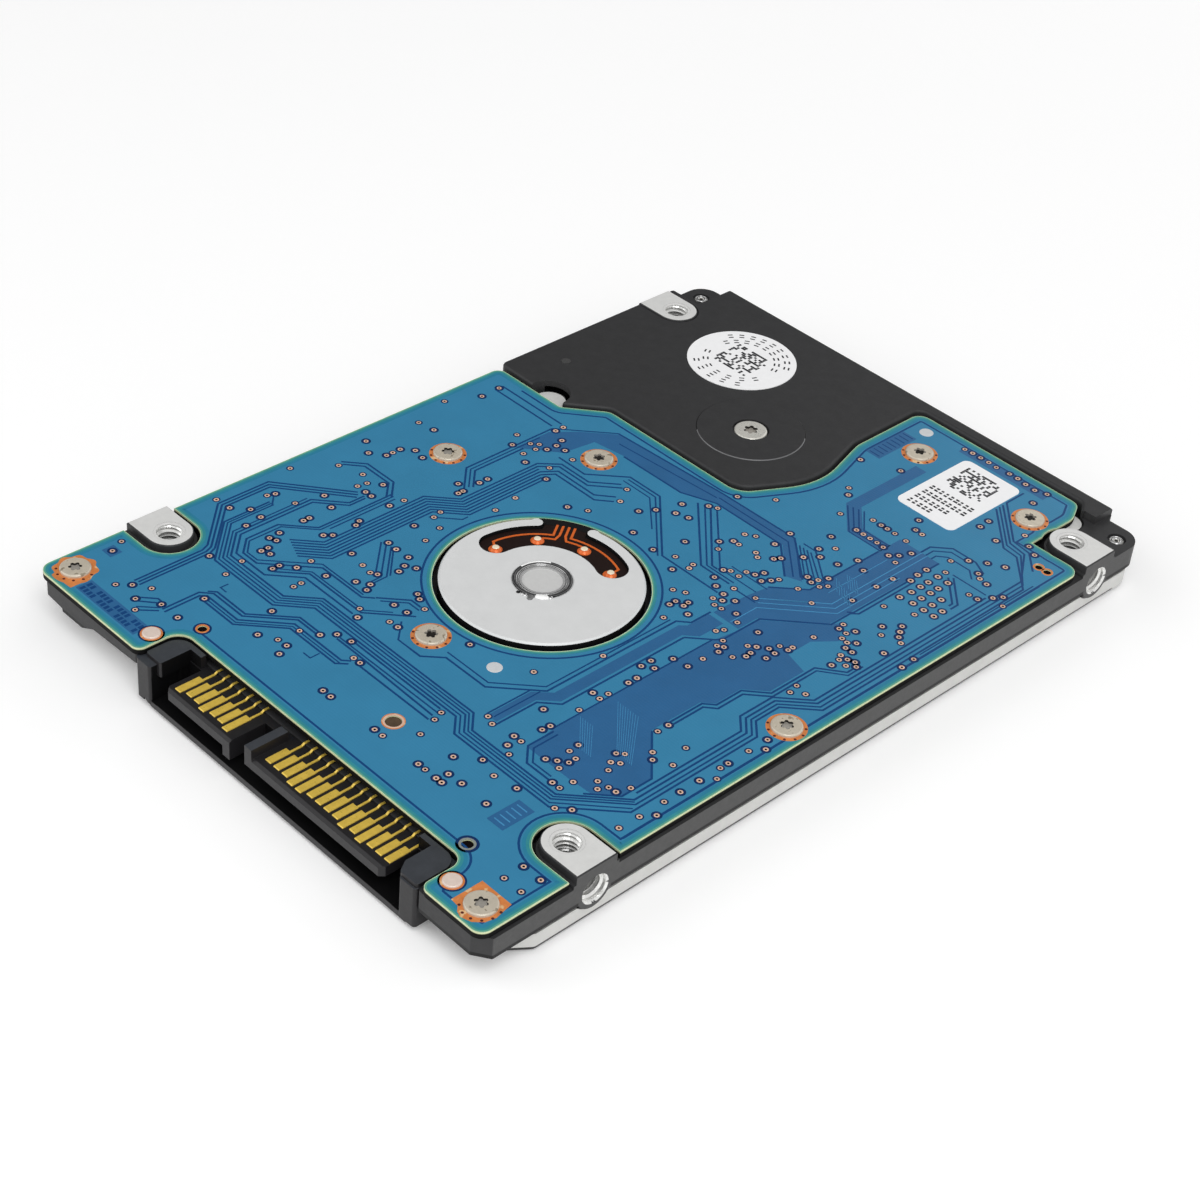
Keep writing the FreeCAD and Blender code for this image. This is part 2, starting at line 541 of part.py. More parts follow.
# upper blocks at the two ends
END_BLOCK_LOW_X = [(-16.75, -49.2, .3), (-14.3, -49.2, .3), (-14.3, -45.5), (-12.6, -45.5),
                   (-12.6, -44.85), (-16.75, -44.85, 1.9)]
END_BLOCK_HIGH_X = [(22.6, -48.6, .5), (23.4, -49.9, .4), (25.75, -49.9, .4),
                    (25.75, -44.85, 1.7), (20.9, -44.85), (20.9, -45.5), (22.6, -45.5)]


def end_wall(x0, x1):
    return prism([(x0, -50.1, .4), (x1, -50.1, .4), (x1, -44.85), (x0, -44.85)], .75, 5.55)


def sata_housing():
    body = fuse([
        box(-16.0, 24.5, -50.02, -44.72, .50, 1.25),                       # lower lip
        box(-17.2, 25.75, -45.6, -44.72, 1.25, TONGUE_Z1),                 # back wall
        box(SIGNAL_X0, SIGNAL_X1, -50.0, -45.5, TONGUE_Z0, TONGUE_Z1),     # signal tongue
        box(POWER_X0, POWER_X1, -50.0, -45.5, TONGUE_Z0, TONGUE_Z1),       # power tongue
        box(-3.15, SIGNAL_X1, -50.0, -45.5, 2.15, TONGUE_Z0 + .1),         # signal key
        box(POWER_X0, 1.45, -50.0, -45.5, TONGUE_Z1 - .1, 5.70),           # power key
        prism(END_BLOCK_LOW_X, 4.2, 6.05),
        end_wall(-17.3, -14.9),
        prism(END_BLOCK_HIGH_X, 4.2, 6.05),
        end_wall(23.4, 25.8),
        box(-17.2, -14.5, -46.6, -44.72, 1.0, 5.55),                       # end blocks' roots
        box(23.0, 25.75, -46.6, -44.72, 1.0, 5.55),
        box(-19.9, -17.2, -48.8, -45.8, 4.62, BOARD_Z0 - .05),             # ears
        box(25.75, 29.1, -48.8, -45.8, 4.62, BOARD_Z0 - .05)])
    # bevelled outer corners of the tongues
    cuts = [prism([(x, -50.1), (x + bevel, -50.1), (x, -49.5)], 3, 5)
            for x, bevel in ((SIGNAL_X0, .55), (POWER_X1, -.55))]
    # lead-in on the upper front edge of both tongues
    lead_in = [(-50.1, TONGUE_Z1 - .3), (-49.65, TONGUE_Z1 + .01), (-50.1, TONGUE_Z1 + .01)]
    cuts += [extrude_x(lead_in, x0, x1) for x0, x1 in ((-12.6, -1.9), (1.5, 21.1))]
    # guide slot in each end block
    cuts += [box(x0, x1, -50.2, -46.6, 1.2, 4.2) for x0, x1 in ((-14.95, -14.0), (22.5, 23.45))]
    cuts += [cyl(x, y, .5, 4, 6) for x, y in PEGS]
    # the lip's -X end sweeps up
    cuts.append(extrude_y([(-16.1, .4), (-14.8, .4), (-16.1, 1.1)], -51, -44))
    return cut(body, cuts)


def contact(x, y_front):
    top = TONGUE_Z1 + .11
    blade = box(x - .42, x + .42, y_front, -46.40, TONGUE_Z1, top)
    front = [edge for edge in top_edges(blade, top) if edge.BoundBox.YMax < y_front + 1e-6]
    blade = blade.makeChamfer(.08, front)
    return fuse([blade, extrude_x(CONTACT_TAIL, x + .14, x + .38)])


def contacts(first_x, count, long_ones):
    return [contact(first_x + CONTACT_PITCH * k,
                    LONG_CONTACT_Y if k in long_ones else SHORT_CONTACT_Y)
            for k in range(count)]


def connector_peg(x, y):
    head = cyl(x, y, .96, BOARD_Z0 - .05, PEG_TOP)
    head = head.makeFillet(.16, top_edges(head, PEG_TOP))
    return head.fuse(cyl(x, y, .48, 4.7, BOARD_Z0)).removeSplitter()


save("sata_housing", sata_housing())
save("sata_signal_contacts", *contacts(-11.30, 7, (0, 3, 6)))
save("sata_power_contacts", *contacts(2.67, 15, (3, 4, 9, 11)))
save("connector_pegs", *[connector_peg(x, y) for x, y in PEGS])

# ---------------------------------------------------------------- spindle motor, fixed side
RECESS_ANGLES = (66.5, 177.0)      # ends of the curved recess in the flange
RECESS_R, RECESS_HALF_W = 7.85, 1.80
RECESS_FLOOR = 6.45
FLEX_ANGLE = 122.7                 # the motor's flex leaves the flange here
NOTCH_ANGLES = (FLEX_ANGLE - 17.94, FLEX_ANGLE + 17.94)
FLEX_TOP = 6.58
JOINT_HEIGHT = .42
SOLDER_JOINTS = [polar(*SPINDLE, r, deg)
                 for r, deg in ((7.35, 180.0), (7.36, 141.3), (7.4, 99.7), (7.5, 61.7))]
# radius, z
FLANGE_PROFILE = [
    (2.97, 3.45), (3.70, 3.45), (3.70, 6.12), (10.45, 6.12), (10.45, 3.55), (12.2, 3.55),
    (12.2, 4.08), (FLANGE_R, 4.08), (FLANGE_R, 6.75), (10.8, 6.95), (3.35, 6.95), (3.25, 6.86),
    (2.97, 6.86)]
FLEX_PROFILE = [
    (9.0, 6.455), (11.06, 6.455), (11.12, 6.40), (11.16, 5.46), (11.22, 5.40), (17.2, 5.40),
    (17.2, 5.52), (11.30, 5.52), (11.26, 5.56), (11.22, 6.50), (11.12, FLEX_TOP),
    (9.0, FLEX_TOP)]
SLEEVE_PROFILE = [
    (1.30, 3.25), (2.75, 3.25), (2.95, 3.40), (2.95, 6.80), (2.87, 6.88), (2.20, 6.88),
    (2.20, 6.40), (1.86, 6.40), (1.86, 5.95), (1.30, 5.95)]
TEETH = 9
CORE_Z0, CORE_Z1 = 4.15, 4.95


def curved_bar(half_width, z0, z1):
    """Round-ended bar that follows the flange's recess."""
    ends = [cyl(*polar(*SPINDLE, RECESS_R, deg), half_width, z0, z1) for deg in RECESS_ANGLES]
    return fuse([sector(*SPINDLE, RECESS_R - half_width, RECESS_R + half_width,
                        *RECESS_ANGLES, z0, z1)] + ends)


def motor_flange():
    flange = cut(revolve(FLANGE_PROFILE, *SPINDLE),
                 [curved_bar(RECESS_HALF_W, RECESS_FLOOR, 8),
                  sector(*SPINDLE, 8.0, 12.5, *NOTCH_ANGLES, RECESS_FLOOR, 8)]
                 + [cyl(x, y, .35, 6, 7) for x, y in SOLDER_JOINTS])
    # round corners where the recess opens to the rim
    return fuse([flange] + [cyl(*polar(*SPINDLE, 10.325, deg), .672, 6.4, 6.95)
                            for deg in NOTCH_ANGLES])


def motor_flex():
    strip = moved(turned(extrude_y(FLEX_PROFILE, -2.35, 2.35), FLEX_ANGLE), *SPINDLE)
    return fuse([curved_bar(RECESS_HALF_W - .12, 6.455, FLEX_TOP), strip])


def solder_joint(x, y):
    dome = Part.makeSphere(.78, Vector(x, y, FLEX_TOP - JOINT_HEIGHT))
    dome = dome.common(cyl(x, y, .8, FLEX_TOP, 8))
    return fuse([dome, cyl(x, y, .12, FLEX_TOP, FLEX_TOP + JOINT_HEIGHT)])


def round_stator(shape):
    return [moved(turned(shape, 360 / TEETH * k), *SPINDLE) for k in range(TEETH)]


def stator_core():
    tooth = fuse([box(4.9, 7.9, -.6, .6, CORE_Z0, CORE_Z1),
                  sector(0, 0, 7.6, 8.25, -15, 15, CORE_Z0, CORE_Z1)])
    return fuse([tube(*SPINDLE, 5.1, 3.72, CORE_Z0, CORE_Z1)] + round_stator(tooth))


def stator_coils():
    x0, x1 = 5.25, 7.45
    coil = box(x0, x1, -1.3, 1.3, 3.5, 5.55)
    coil = coil.makeFillet(.35, [edge for edge in coil.Edges
                                 if abs(edge.BoundBox.XLength - (x1 - x0)) < 1e-6])
    return round_stator(coil.cut(box(5, 8, -.62, .62, CORE_Z0 - .02, CORE_Z1 + .02)))


save("motor_flange", motor_flange())
save("motor_flex", motor_flex())
save("motor_solder_joints", *[solder_joint(x, y) for x, y in SOLDER_JOINTS])
save("bearing_sleeve", revolve(SLEEVE_PROFILE, *SPINDLE))
save("bearing_end_cap", cyl(*SPINDLE, 2.19, 6.40, 6.74))
save("stator_core", stator_core())
save("stator_coils", *stator_coils())

# ---------------------------------------------------------------- spindle motor, turning side
# radius, z
SHAFT_PROFILE = [(0, 1.30), (1.15, 1.30), (1.25, 1.40), (1.25, 6.00), (1.80, 6.00),
                 (1.80, 6.32), (0, 6.32)]
HUB_PROFILE = [
    (1.25, 1.70), (9.95, 1.70), (9.95, 2.70), (11.2, 2.70), (11.2, 3.05), (10.0, 3.15),
    (10.0, 5.60), (9.30, 5.60), (9.30, 3.12), (1.25, 3.12)]
PLATTER_PROFILE = [
    (BORE_R, PLATTER_Z0), (PLATTER_R - PLATTER_CHAMFER, PLATTER_Z0),
    (PLATTER_R, PLATTER_Z0 + PLATTER_CHAMFER), (PLATTER_R, PLATTER_Z1 - PLATTER_CHAMFER),
    (PLATTER_R - PLATTER_CHAMFER, PLATTER_Z1), (BORE_R, PLATTER_Z1)]
CLAMP_PROFILE = [
    (1.6, 1.25), (9.3, 1.25), (11.0, 1.45), (11.2, 1.55), (11.2, 1.90), (10.12, 1.90),
    (10.02, 1.70), (1.6, 1.70)]
CLAMP_SCREWS = [polar(*SPINDLE, 6.2, 60 * k + 20) for k in range(6)]
CLAMP_HOLES = [polar(*SPINDLE, 8.3, 60 * k + 50) for k in range(6)]

save("spindle_shaft", revolve(SHAFT_PROFILE, *SPINDLE))
save("spindle_hub", cut(revolve(HUB_PROFILE, *SPINDLE),
                        [cyl(x, y, .62, 1, 2.75) for x, y in CLAMP_SCREWS]))
save("rotor_magnet", tube(*SPINDLE, 9.29, 8.5, 3.40, 5.50))
save("platter", revolve(PLATTER_PROFILE, *SPINDLE))
save("disk_clamp", cut(revolve(CLAMP_PROFILE, *SPINDLE),
                       [cyl(x, y, .70, 1, 2) for x, y in CLAMP_SCREWS]
                       + [cyl(x, y, .55, 1, 2) for x, y in CLAMP_HOLES]))
save("clamp_screws", *[screw(x, y, 1.25, 2.65, CLAMP_SCREW, deg=11 * i)
                       for i, (x, y) in enumerate(CLAMP_SCREWS)])

# ---------------------------------------------------------------- actuator pivot, fixed side
pivot_tube = revolve([(1.02, 1.00), (1.90, 1.00), (1.90, 6.06), (1.02, 6.06)], *PIVOT)
save("pivot_shaft", fuse([pivot_tube, cyl(*PIVOT, 1.02, 2.75, 4.3)]))
save("pivot_screw", screw(*PIVOT, 6.52, 4.5, PIVOT_SCREW, up=True, deg=5))

# ---------------------------------------------------------------- actuator, turning side
# Drawn about the origin with the arm along +X, then placed on the pivot in the parked position.
BEARING_R = 3.62
ARM_LAYERS = ((.95, 1.42), (3.18, 3.65))
ARM_PLAN = [(-3.0, -4.6, 1), (3.0, -5.0, 2), (9.0, -3.6, 3), (24.3, -1.9, .8),
            (24.3, 1.9, .8), (9.0, 3.6, 3), (3.0, 5.0, 2), (-3.0, 4.6, 1)]
ARM_ROOT_PLAN = [(-3.0, -4.6, 1), (2.6, -5.0, 2), (5.6, -3.2, 1), (5.6, 3.2, 1),
                 (2.6, 5.0, 2), (-3.0, 4.6, 1)]
ARM_WINDOW = [(10.5, -1.9, .4), (19.5, -.9, .4), (19.5, .9, .4), (10.5, 1.9, .4)]
TAIL_PLAN = [(-8.6, -3.0, .5), (0, -4.0), (0, 4.0), (-8.6, 3.0, .5)]
COIL_OUTER = [(-9.6, -2.6, 1.0), (-17.9, -4.9, 1.2), (-17.9, 4.9, 1.2), (-9.6, 2.6, 1.0)]
COIL_INNER = [(-11.9, -.9, .4), (-15.8, -1.9, .5), (-15.8, 1.9, .5), (-11.9, .9, .4)]
FRAME_OUTER = [(-8.7, -3.6, .5), (-18.7, -5.7, 1.0), (-18.7, 5.7, 1.0), (-8.7, 3.6, .5)]
FRAME_INNER = [(-9.58, -2.62, 1.0), (-17.92, -4.93, 1.2), (-17.92, 4.93, 1.2),
               (-9.58, 2.62, 1.0)]
MOUNT_PLAN = [(21.2, -1.85, .4), (24.6, -1.85, .3), (24.6, 1.85, .3), (21.2, 1.85, .4)]
BEAM_PLAN = [(24.4, -1.6), (32.0, -.45), (32.4, -.4), (35.1, -.35, .3), (35.1, .35, .3),
             (32.4, .4), (32.0, .45), (24.4, 1.6)]
BEAM_WINDOW = [(26.0, -.7, .2), (28.6, -.35, .2), (28.6, .35, .2), (26.0, .7, .2)]
ARM_FLEX_PLAN = [(3.30, 5.06), (9.0, 3.78), (24.2, 2.04), (24.2, 2.16), (9.0, 3.90),
                 (3.35, 5.18)]
PREAMP_PLAN = [(9.6, 3.86), (12.0, 3.59), (12.06, 4.13), (9.66, 4.40)]


def place(shape):
    return moved(turned(shape, PARK_ANGLE), *PIVOT)


def actuator_arm():
    window = prism(ARM_WINDOW, 0, 5)
    body = fuse([cyl(0, 0, 5.0, .95, 4.85), prism(ARM_ROOT_PLAN, .95, 3.65),
                 prism(TAIL_PLAN, 2.95, 4.05)]
                + [prism(ARM_PLAN, z0, z1).cut(window) for z0, z1 in ARM_LAYERS])
    return cut(body, [cyl(0, 0, BEARING_R, 0, 9), cyl(23.0, 0, .7, 0, 9)])


def pivot_bearing(z0, z1):
    """Outer ring and nine balls."""
    balls = [Part.makeSphere(.44, Vector(*polar(0, 0, 2.42, 40 * k), (z0 + z1) / 2))
             for k in range(9)]
    return [tube(0, 0, BEARING_R, 2.90, z0, z1)] + balls


def suspension(z0, z1):
    return fuse([prism(MOUNT_PLAN, z0, z1), prism(BEAM_PLAN, z0, z1)]).cut(
        prism(BEAM_WINDOW, 0, 5))


def slider(z0, z1):
    return box(ARM_REACH - .62, ARM_REACH + .62, -.5, .5, z0, z1)


save("actuator_arm", place(actuator_arm()))
save("pivot_bearings", *[place(shape) for z0, z1 in ((1.10, 2.35), (3.50, 4.75))
                         for shape in pivot_bearing(z0, z1)])
save("voice_coil", place(prism(COIL_OUTER, 2.95, 4.05).cut(prism(COIL_INNER, 2, 5))))
save("coil_frame", place(prism(FRAME_OUTER, 2.90, 4.10).cut(prism(FRAME_INNER, 2, 5))))
save("head_suspensions", place(suspension(1.42, 1.52)), place(suspension(3.08, 3.18)))
save("head_sliders", place(slider(1.52, 1.86)), place(slider(2.74, 3.08)))
# flexible circuit along the arm's side, kept above the platter, and the head amplifier on it
arm_flex = prism(ARM_FLEX_PLAN, 1.55, 3.60).cut(box(4.40, 40, -10, 10, 0, 2.95))
save("arm_flex", place(arm_flex))
save("preamp_chip", place(prism(PREAMP_PLAN, 3.0, 3.58)))

# ---------------------------------------------------------------- flexible loop, its bracket
LOOP_PATH = [(8.5, 38.9), (4.6, 39.9), (.9, 39.5), (-1.7, 37.4), (-2.7, 34.6), (-2.2, 32.2)]
LOOP_Z0, LOOP_HEIGHT = 1.5, 1.7
LOOP_HALF_THICK = .07
LOOP_STEPS = 30
BRACKET_Z0 = 3.34
BRACKET_PLAN = [(8.0, 38.2, .8), (24.4, 37.6, .8), (24.4, 47.3, .6), (9.2, 47.3, .6)]


def flex_loop():
    """Thin upright strip along a smooth path."""
    path = Part.BSplineCurve()
    path.interpolate([Vector(x, y, LOOP_Z0) for x, y in LOOP_PATH])
    first, last = path.FirstParameter, path.LastParameter
    sides = ([], [])
    for k in range(LOOP_STEPS + 1):
        parameter = first + (last - first) * k / LOOP_STEPS
        point = path.value(parameter)
        along = path.tangent(parameter)[0]
        offset = Vector(-along.y, along.x, 0).normalize() * LOOP_HALF_THICK
        sides[0].append(point + offset)
        sides[1].append(point - offset)
    edges = []
    for side, end in zip(sides, (-1, 0)):
        curve = Part.BSplineCurve()
        curve.interpolate(side)
        edges += [curve.toShape(), Part.makeLine(sides[0][end], sides[1][end])]
    return Part.Face(Part.Wire(edges)).extrude(Vector(0, 0, LOOP_HEIGHT))


save("flex_loop", flex_loop())
bracket = fuse([prism(BRACKET_PLAN, BRACKET_Z0, 3.60), box(8.65, 9.0, 38.6, 41.0, 1.5, 3.40)])
save("flex_bracket", cut(bracket, [cyl(x, y, .68, 3, 4) for x, y in BRACKET_SCREWS]))
save("bracket_screws", *[screw(x, y, BRACKET_Z0, 4.35, SMALL_SCREW) for x, y in BRACKET_SCREWS])

# ---------------------------------------------------------------- head connector
PIN_X = [11.2 + 1.07 * k for k in range(12)]
PIN_ROWS = (45.4, 46.5)
connector_body = fuse([box(10.1, 24.1, 44.8, 47.1, 3.62, 5.30),
                       box(9.7, 24.5, 44.4, 47.2, 3.61, 4.05)])
save("head_connector", connector_body,
     *[box(x - .18, x + .18, y - .3, y + .3, 5.30, 5.68) for y in PIN_ROWS for x in PIN_X])

# ---------------------------------------------------------------- voice coil motor
YOKE = (8.6, 18.6, 90.0, 186.0)    # inner and outer radius, start and end angle
MAGNET = (9.6, 17.9, 103, 173)
COVER_YOKE_Z0, COVER_YOKE_Z1 = .95, 1.75
BASE_YOKE_Z0, BASE_YOKE_Z1 = 5.22, 6.06
YOKE_POSTS = [polar(*PIVOT, 13.2, deg) for deg in (95.2, 180.8)]

save("vcm_cover_yoke", sector(*PIVOT, *YOKE, COVER_YOKE_Z0, COVER_YOKE_Z1))
save("vcm_base_yoke", sector(*PIVOT, *YOKE, BASE_YOKE_Z0, BASE_YOKE_Z1))
save("vcm_cover_magnet", sector(*PIVOT, *MAGNET, COVER_YOKE_Z1, 2.55))
save("vcm_base_magnet", sector(*PIVOT, *MAGNET, 4.45, BASE_YOKE_Z0))
save("yoke_posts", *[cyl(x, y, .6, COVER_YOKE_Z1, BASE_YOKE_Z0) for x, y in YOKE_POSTS])
save("crash_stops", *[tube(x, y, .95, .61, 2.75, 4.25) for x, y in YOKE_POSTS])

# ---------------------------------------------------------------- latch
LEVER_LONG = [(-.9, .2), (.9, -.2), (3.25, 8.6, .3), (3.75, 9.6, .3), (2.7, 9.9, .3),
              (2.2, 9.0, .3)]
LEVER_SHORT = [(-.8, 0), (.8, 0), (1.6, -3.6, .5), (-.2, -4.0, .5)]
latch_pin = cyl(*LATCH, .60, 1.0, 6.92).fuse(cyl(*LATCH, 1.15, 1.0, 1.5))
save("latch_pin", latch_pin.removeSplitter())
lever = fuse([cyl(0, 0, 1.35, 2.75, 4.25), prism(LEVER_LONG, 2.95, 4.0),
              prism(LEVER_SHORT, 2.95, 4.0)])
save("latch_lever", moved(lever.cut(cyl(0, 0, .65, 0, 9)), *LATCH))

# ---------------------------------------------------------------- ramp
RAMP_SEAT = 1.25
RAMP_FINGERS = ((.80, 1.27), (1.66, 2.94), (3.33, 3.80))
RAMP_POST = [(26.0, 20.4, .4), (29.6, 20.4, .4), (31.4, 22.2, .8), (31.4, 24.6, .8),
             (28.0, 25.0, .8), (26.0, 22.6, .4)]


def load_ramp():
    fingers = [sector(*PIVOT, 32.8, 35.7, -27.3, -11.5, z0, z1) for z0, z1 in RAMP_FINGERS]
    gap = sector(*PIVOT, 32.0, 36.4, -30, -14.5, .5, 4.5)
    body = fuse(fingers + [prism(RAMP_POST, .80, 4.08).cut(gap)])
    return cut(body, [cyl(*RAMP_SCREW, .68, 0, 5), cyl(*RAMP_SCREW, 1.25, 0, RAMP_SEAT)])


save("load_ramp", load_ramp())
save("ramp_screw", screw(*RAMP_SCREW, RAMP_SEAT, 4.35, SMALL_SCREW))

# ---------------------------------------------------------------- filter
filter_block = box(-2.5, 2.5, -.6, .6, .9, 3.95)
save("recirculation_filter", moved(turned(filter_block, 52), -29.9, 9.2))
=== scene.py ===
import bpy
import bmesh
import itertools
import math
import random
from mathutils import Matrix, Vector

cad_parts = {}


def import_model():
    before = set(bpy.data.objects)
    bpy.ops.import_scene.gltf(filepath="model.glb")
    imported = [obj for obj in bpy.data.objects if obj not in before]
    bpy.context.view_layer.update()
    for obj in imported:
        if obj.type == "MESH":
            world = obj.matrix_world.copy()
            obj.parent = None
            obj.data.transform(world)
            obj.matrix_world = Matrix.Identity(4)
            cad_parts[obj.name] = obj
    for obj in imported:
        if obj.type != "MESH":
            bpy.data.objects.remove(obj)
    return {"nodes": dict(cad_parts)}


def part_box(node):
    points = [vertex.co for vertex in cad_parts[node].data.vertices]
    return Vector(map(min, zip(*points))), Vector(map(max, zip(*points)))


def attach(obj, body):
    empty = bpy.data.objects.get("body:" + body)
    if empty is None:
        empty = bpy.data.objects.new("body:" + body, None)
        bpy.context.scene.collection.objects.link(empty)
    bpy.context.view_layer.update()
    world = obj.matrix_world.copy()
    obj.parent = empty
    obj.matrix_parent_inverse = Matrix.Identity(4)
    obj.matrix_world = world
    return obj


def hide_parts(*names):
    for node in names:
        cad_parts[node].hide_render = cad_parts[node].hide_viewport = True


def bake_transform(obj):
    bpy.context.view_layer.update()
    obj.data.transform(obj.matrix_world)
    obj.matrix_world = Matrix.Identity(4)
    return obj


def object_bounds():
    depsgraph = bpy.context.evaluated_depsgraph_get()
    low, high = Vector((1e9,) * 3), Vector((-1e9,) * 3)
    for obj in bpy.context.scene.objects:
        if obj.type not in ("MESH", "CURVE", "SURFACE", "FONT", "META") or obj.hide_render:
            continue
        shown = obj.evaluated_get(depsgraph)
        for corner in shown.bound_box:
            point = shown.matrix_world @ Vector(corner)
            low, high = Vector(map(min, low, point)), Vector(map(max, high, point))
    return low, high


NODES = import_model()["nodes"]
cad_low, cad_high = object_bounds()
dice = random.Random(7)
scene = bpy.context.scene
MM = 0.001


def box_centre(name):
    low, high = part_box(name)
    return (low.x + high.x) * 500, (low.y + high.y) * 500


def top_of(name):
    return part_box(name)[1].z * 1000


SPINDLE = box_centre("motor_flange")
PIVOT = box_centre("pivot_screw")
BOARD_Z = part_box("board_label")[0].z * 1000            # top of the circuit board
CASTING_TOP = cad_high.z * 1000
HALF_WIDTH = 34.925
HOLE_X = 30.86                                         # tapped holes in the casting's top pads
HOLE_YS = (-36.10, 40.50)                              # the side holes share these y
TOP_HOLES = [(x, y) for y in HOLE_YS for x in (-HOLE_X, HOLE_X)]
SIDE_HOLE_Z = 4.0
HOLE_REACH = 1.62                                      # faces this near a hole's axis are its bore
MACHINED_DISCS = [(27.15, 44.72, 1.80, 5.66), (-26.7, 15.2, 1.95, 5.62)]   # x, y, radius, z
BOARD_SCREWS = [(-31.9, -47.2), (31.65, -47.4), (-24.6, -2.5), (-13.3, 10.3), (8.5, 40.9),
                (24.9, 40.7), (32.2, -7.5), (-.6, -25.6)]
COVER_SCREW_TIPS = [(32.9, 46.45, 5.62), (-32.2, 46.4, 5.82)]              # x, y, z


# ------------------------------------------------------------------ materials
def linear(rgb):
    """Linear RGBA from 0-255 sRGB."""
    values = [v / 255.0 for v in rgb]
    return [v / 12.92 if v <= 0.04045 else ((v + 0.055) / 1.055) ** 2.4 for v in values] + [1]


def add_node(tree, kind, inputs, **settings):
    """Add a shader node; each input is given as a value or as another node's output."""
    node = tree.nodes.new("ShaderNode" + kind)
    for key, value in settings.items():
        setattr(node, key, value)
    for key, value in inputs.items():
        if isinstance(value, bpy.types.NodeSocket):
            tree.links.new(value, node.inputs[key])
        else:
            node.inputs[key].default_value = value
    return node


def mix_colours(tree, factor, first, second):
    return add_node(tree, "Mix", {0: factor, 6: first, 7: second}, data_type="RGBA").outputs[2]


def from_axis(tree, coords, axis_point, keep):
    """Distance from an axis through a point (metres); keep is 0 along the axis."""
    offset = add_node(tree, "VectorMath", {0: coords, 1: axis_point}, operation="SUBTRACT")
    across = add_node(tree, "VectorMath", {0: offset.outputs[0], 1: keep}, operation="MULTIPLY")
    length = add_node(tree, "VectorMath", {0: across.outputs[0]}, operation="LENGTH")
    return length.outputs["Value"]


def relief_height(tree, coords, kind, scale):
    """Height pattern: grain, turned about the spindle, brushed (scale per axis) or woven."""
    if kind == "turned":
        radius = from_axis(tree, coords, (SPINDLE[0] * MM, SPINDLE[1] * MM, 0), (1, 1, 0))
        return add_node(tree, "TexNoise", {"Scale": scale, "Detail": 3.0, "W": radius},
                        noise_dimensions="1D").outputs["Fac"]
    if kind == "weave":
        waves = [add_node(tree, "TexWave", {"Scale": scale, "Vector": coords},
                          bands_direction=axis).outputs["Fac"] for axis in "XY"]
        return add_node(tree, "Math", {0: waves[0], 1: waves[1]}, operation="ADD").outputs[0]
    if kind == "brush":
        coords = add_node(tree, "Mapping", {"Vector": coords, "Scale": scale}).outputs[0]
        scale = 1.0
    return add_node(tree, "TexNoise", {"Scale": scale, "Detail": 4.0,
                                       "Vector": coords}).outputs["Fac"]


def make_material(name, rgb, rough, metal, mottle, scale, spread,
                  edge=0.0, coat=0.0, spec=0.5, spots=None, **relief):
    """A mottled material. edge is a shaded edge radius, spots are (rgb, scale, noise limit),
    relief is at most one of grain, turned, brush and weave, as (depth, scale)."""
    material = bpy.data.materials.new(name)
    material.use_nodes = True
    tree = material.node_tree
    tree.nodes.clear()
    coords = add_node(tree, "TexCoord", {}).outputs["Object"]

    base = linear(rgb)[:3]
    swing = mottle * 2.2
    patches = add_node(tree, "TexNoise", {"Scale": scale, "Detail": 5.0, "Roughness": 0.6,
                                          "Vector": coords})
    colour = mix_colours(tree, patches.outputs["Fac"], [v * (1 - swing) for v in base] + [1],
                         [min(1.0, v * (1 + swing)) for v in base] + [1])
    if spots:
        spot_rgb, spot_scale, limit = spots
        blots = add_node(tree, "TexNoise", {"Scale": spot_scale, "Detail": 2.0,
                                            "Vector": coords})
        share = add_node(tree, "MapRange", {"From Min": limit, "From Max": limit + 0.06,
                                            "Value": blots.outputs["Fac"]})
        colour = mix_colours(tree, share.outputs[0], colour, linear(spot_rgb))

    wear = add_node(tree, "TexNoise", {"Scale": scale * 2.7, "Detail": 3.0, "Vector": coords})
    roughness = add_node(tree, "MapRange", {"To Min": rough - spread, "To Max": rough + spread,
                                            "Value": wear.outputs["Fac"]})
    inputs = {"Base Color": colour, "Roughness": roughness.outputs[0], "Metallic": metal,
              "Specular IOR Level": spec, "Coat Weight": coat, "Coat Roughness": 0.12}
    if edge:
        inputs["Normal"] = add_node(tree, "Bevel", {"Radius": edge * MM}, samples=4).outputs[0]
    for kind, (depth, relief_scale) in relief.items():
        bump = {"Strength": 1.0, "Distance": depth * MM,
                "Height": relief_height(tree, coords, kind, relief_scale)}
        if "Normal" in inputs:
            bump["Normal"] = inputs["Normal"]
        inputs["Normal"] = add_node(tree, "Bump", bump).outputs[0]
    shader = add_node(tree, "BsdfPrincipled", inputs)
    add_node(tree, "OutputMaterial", {0: shader.outputs[0]})
    return material


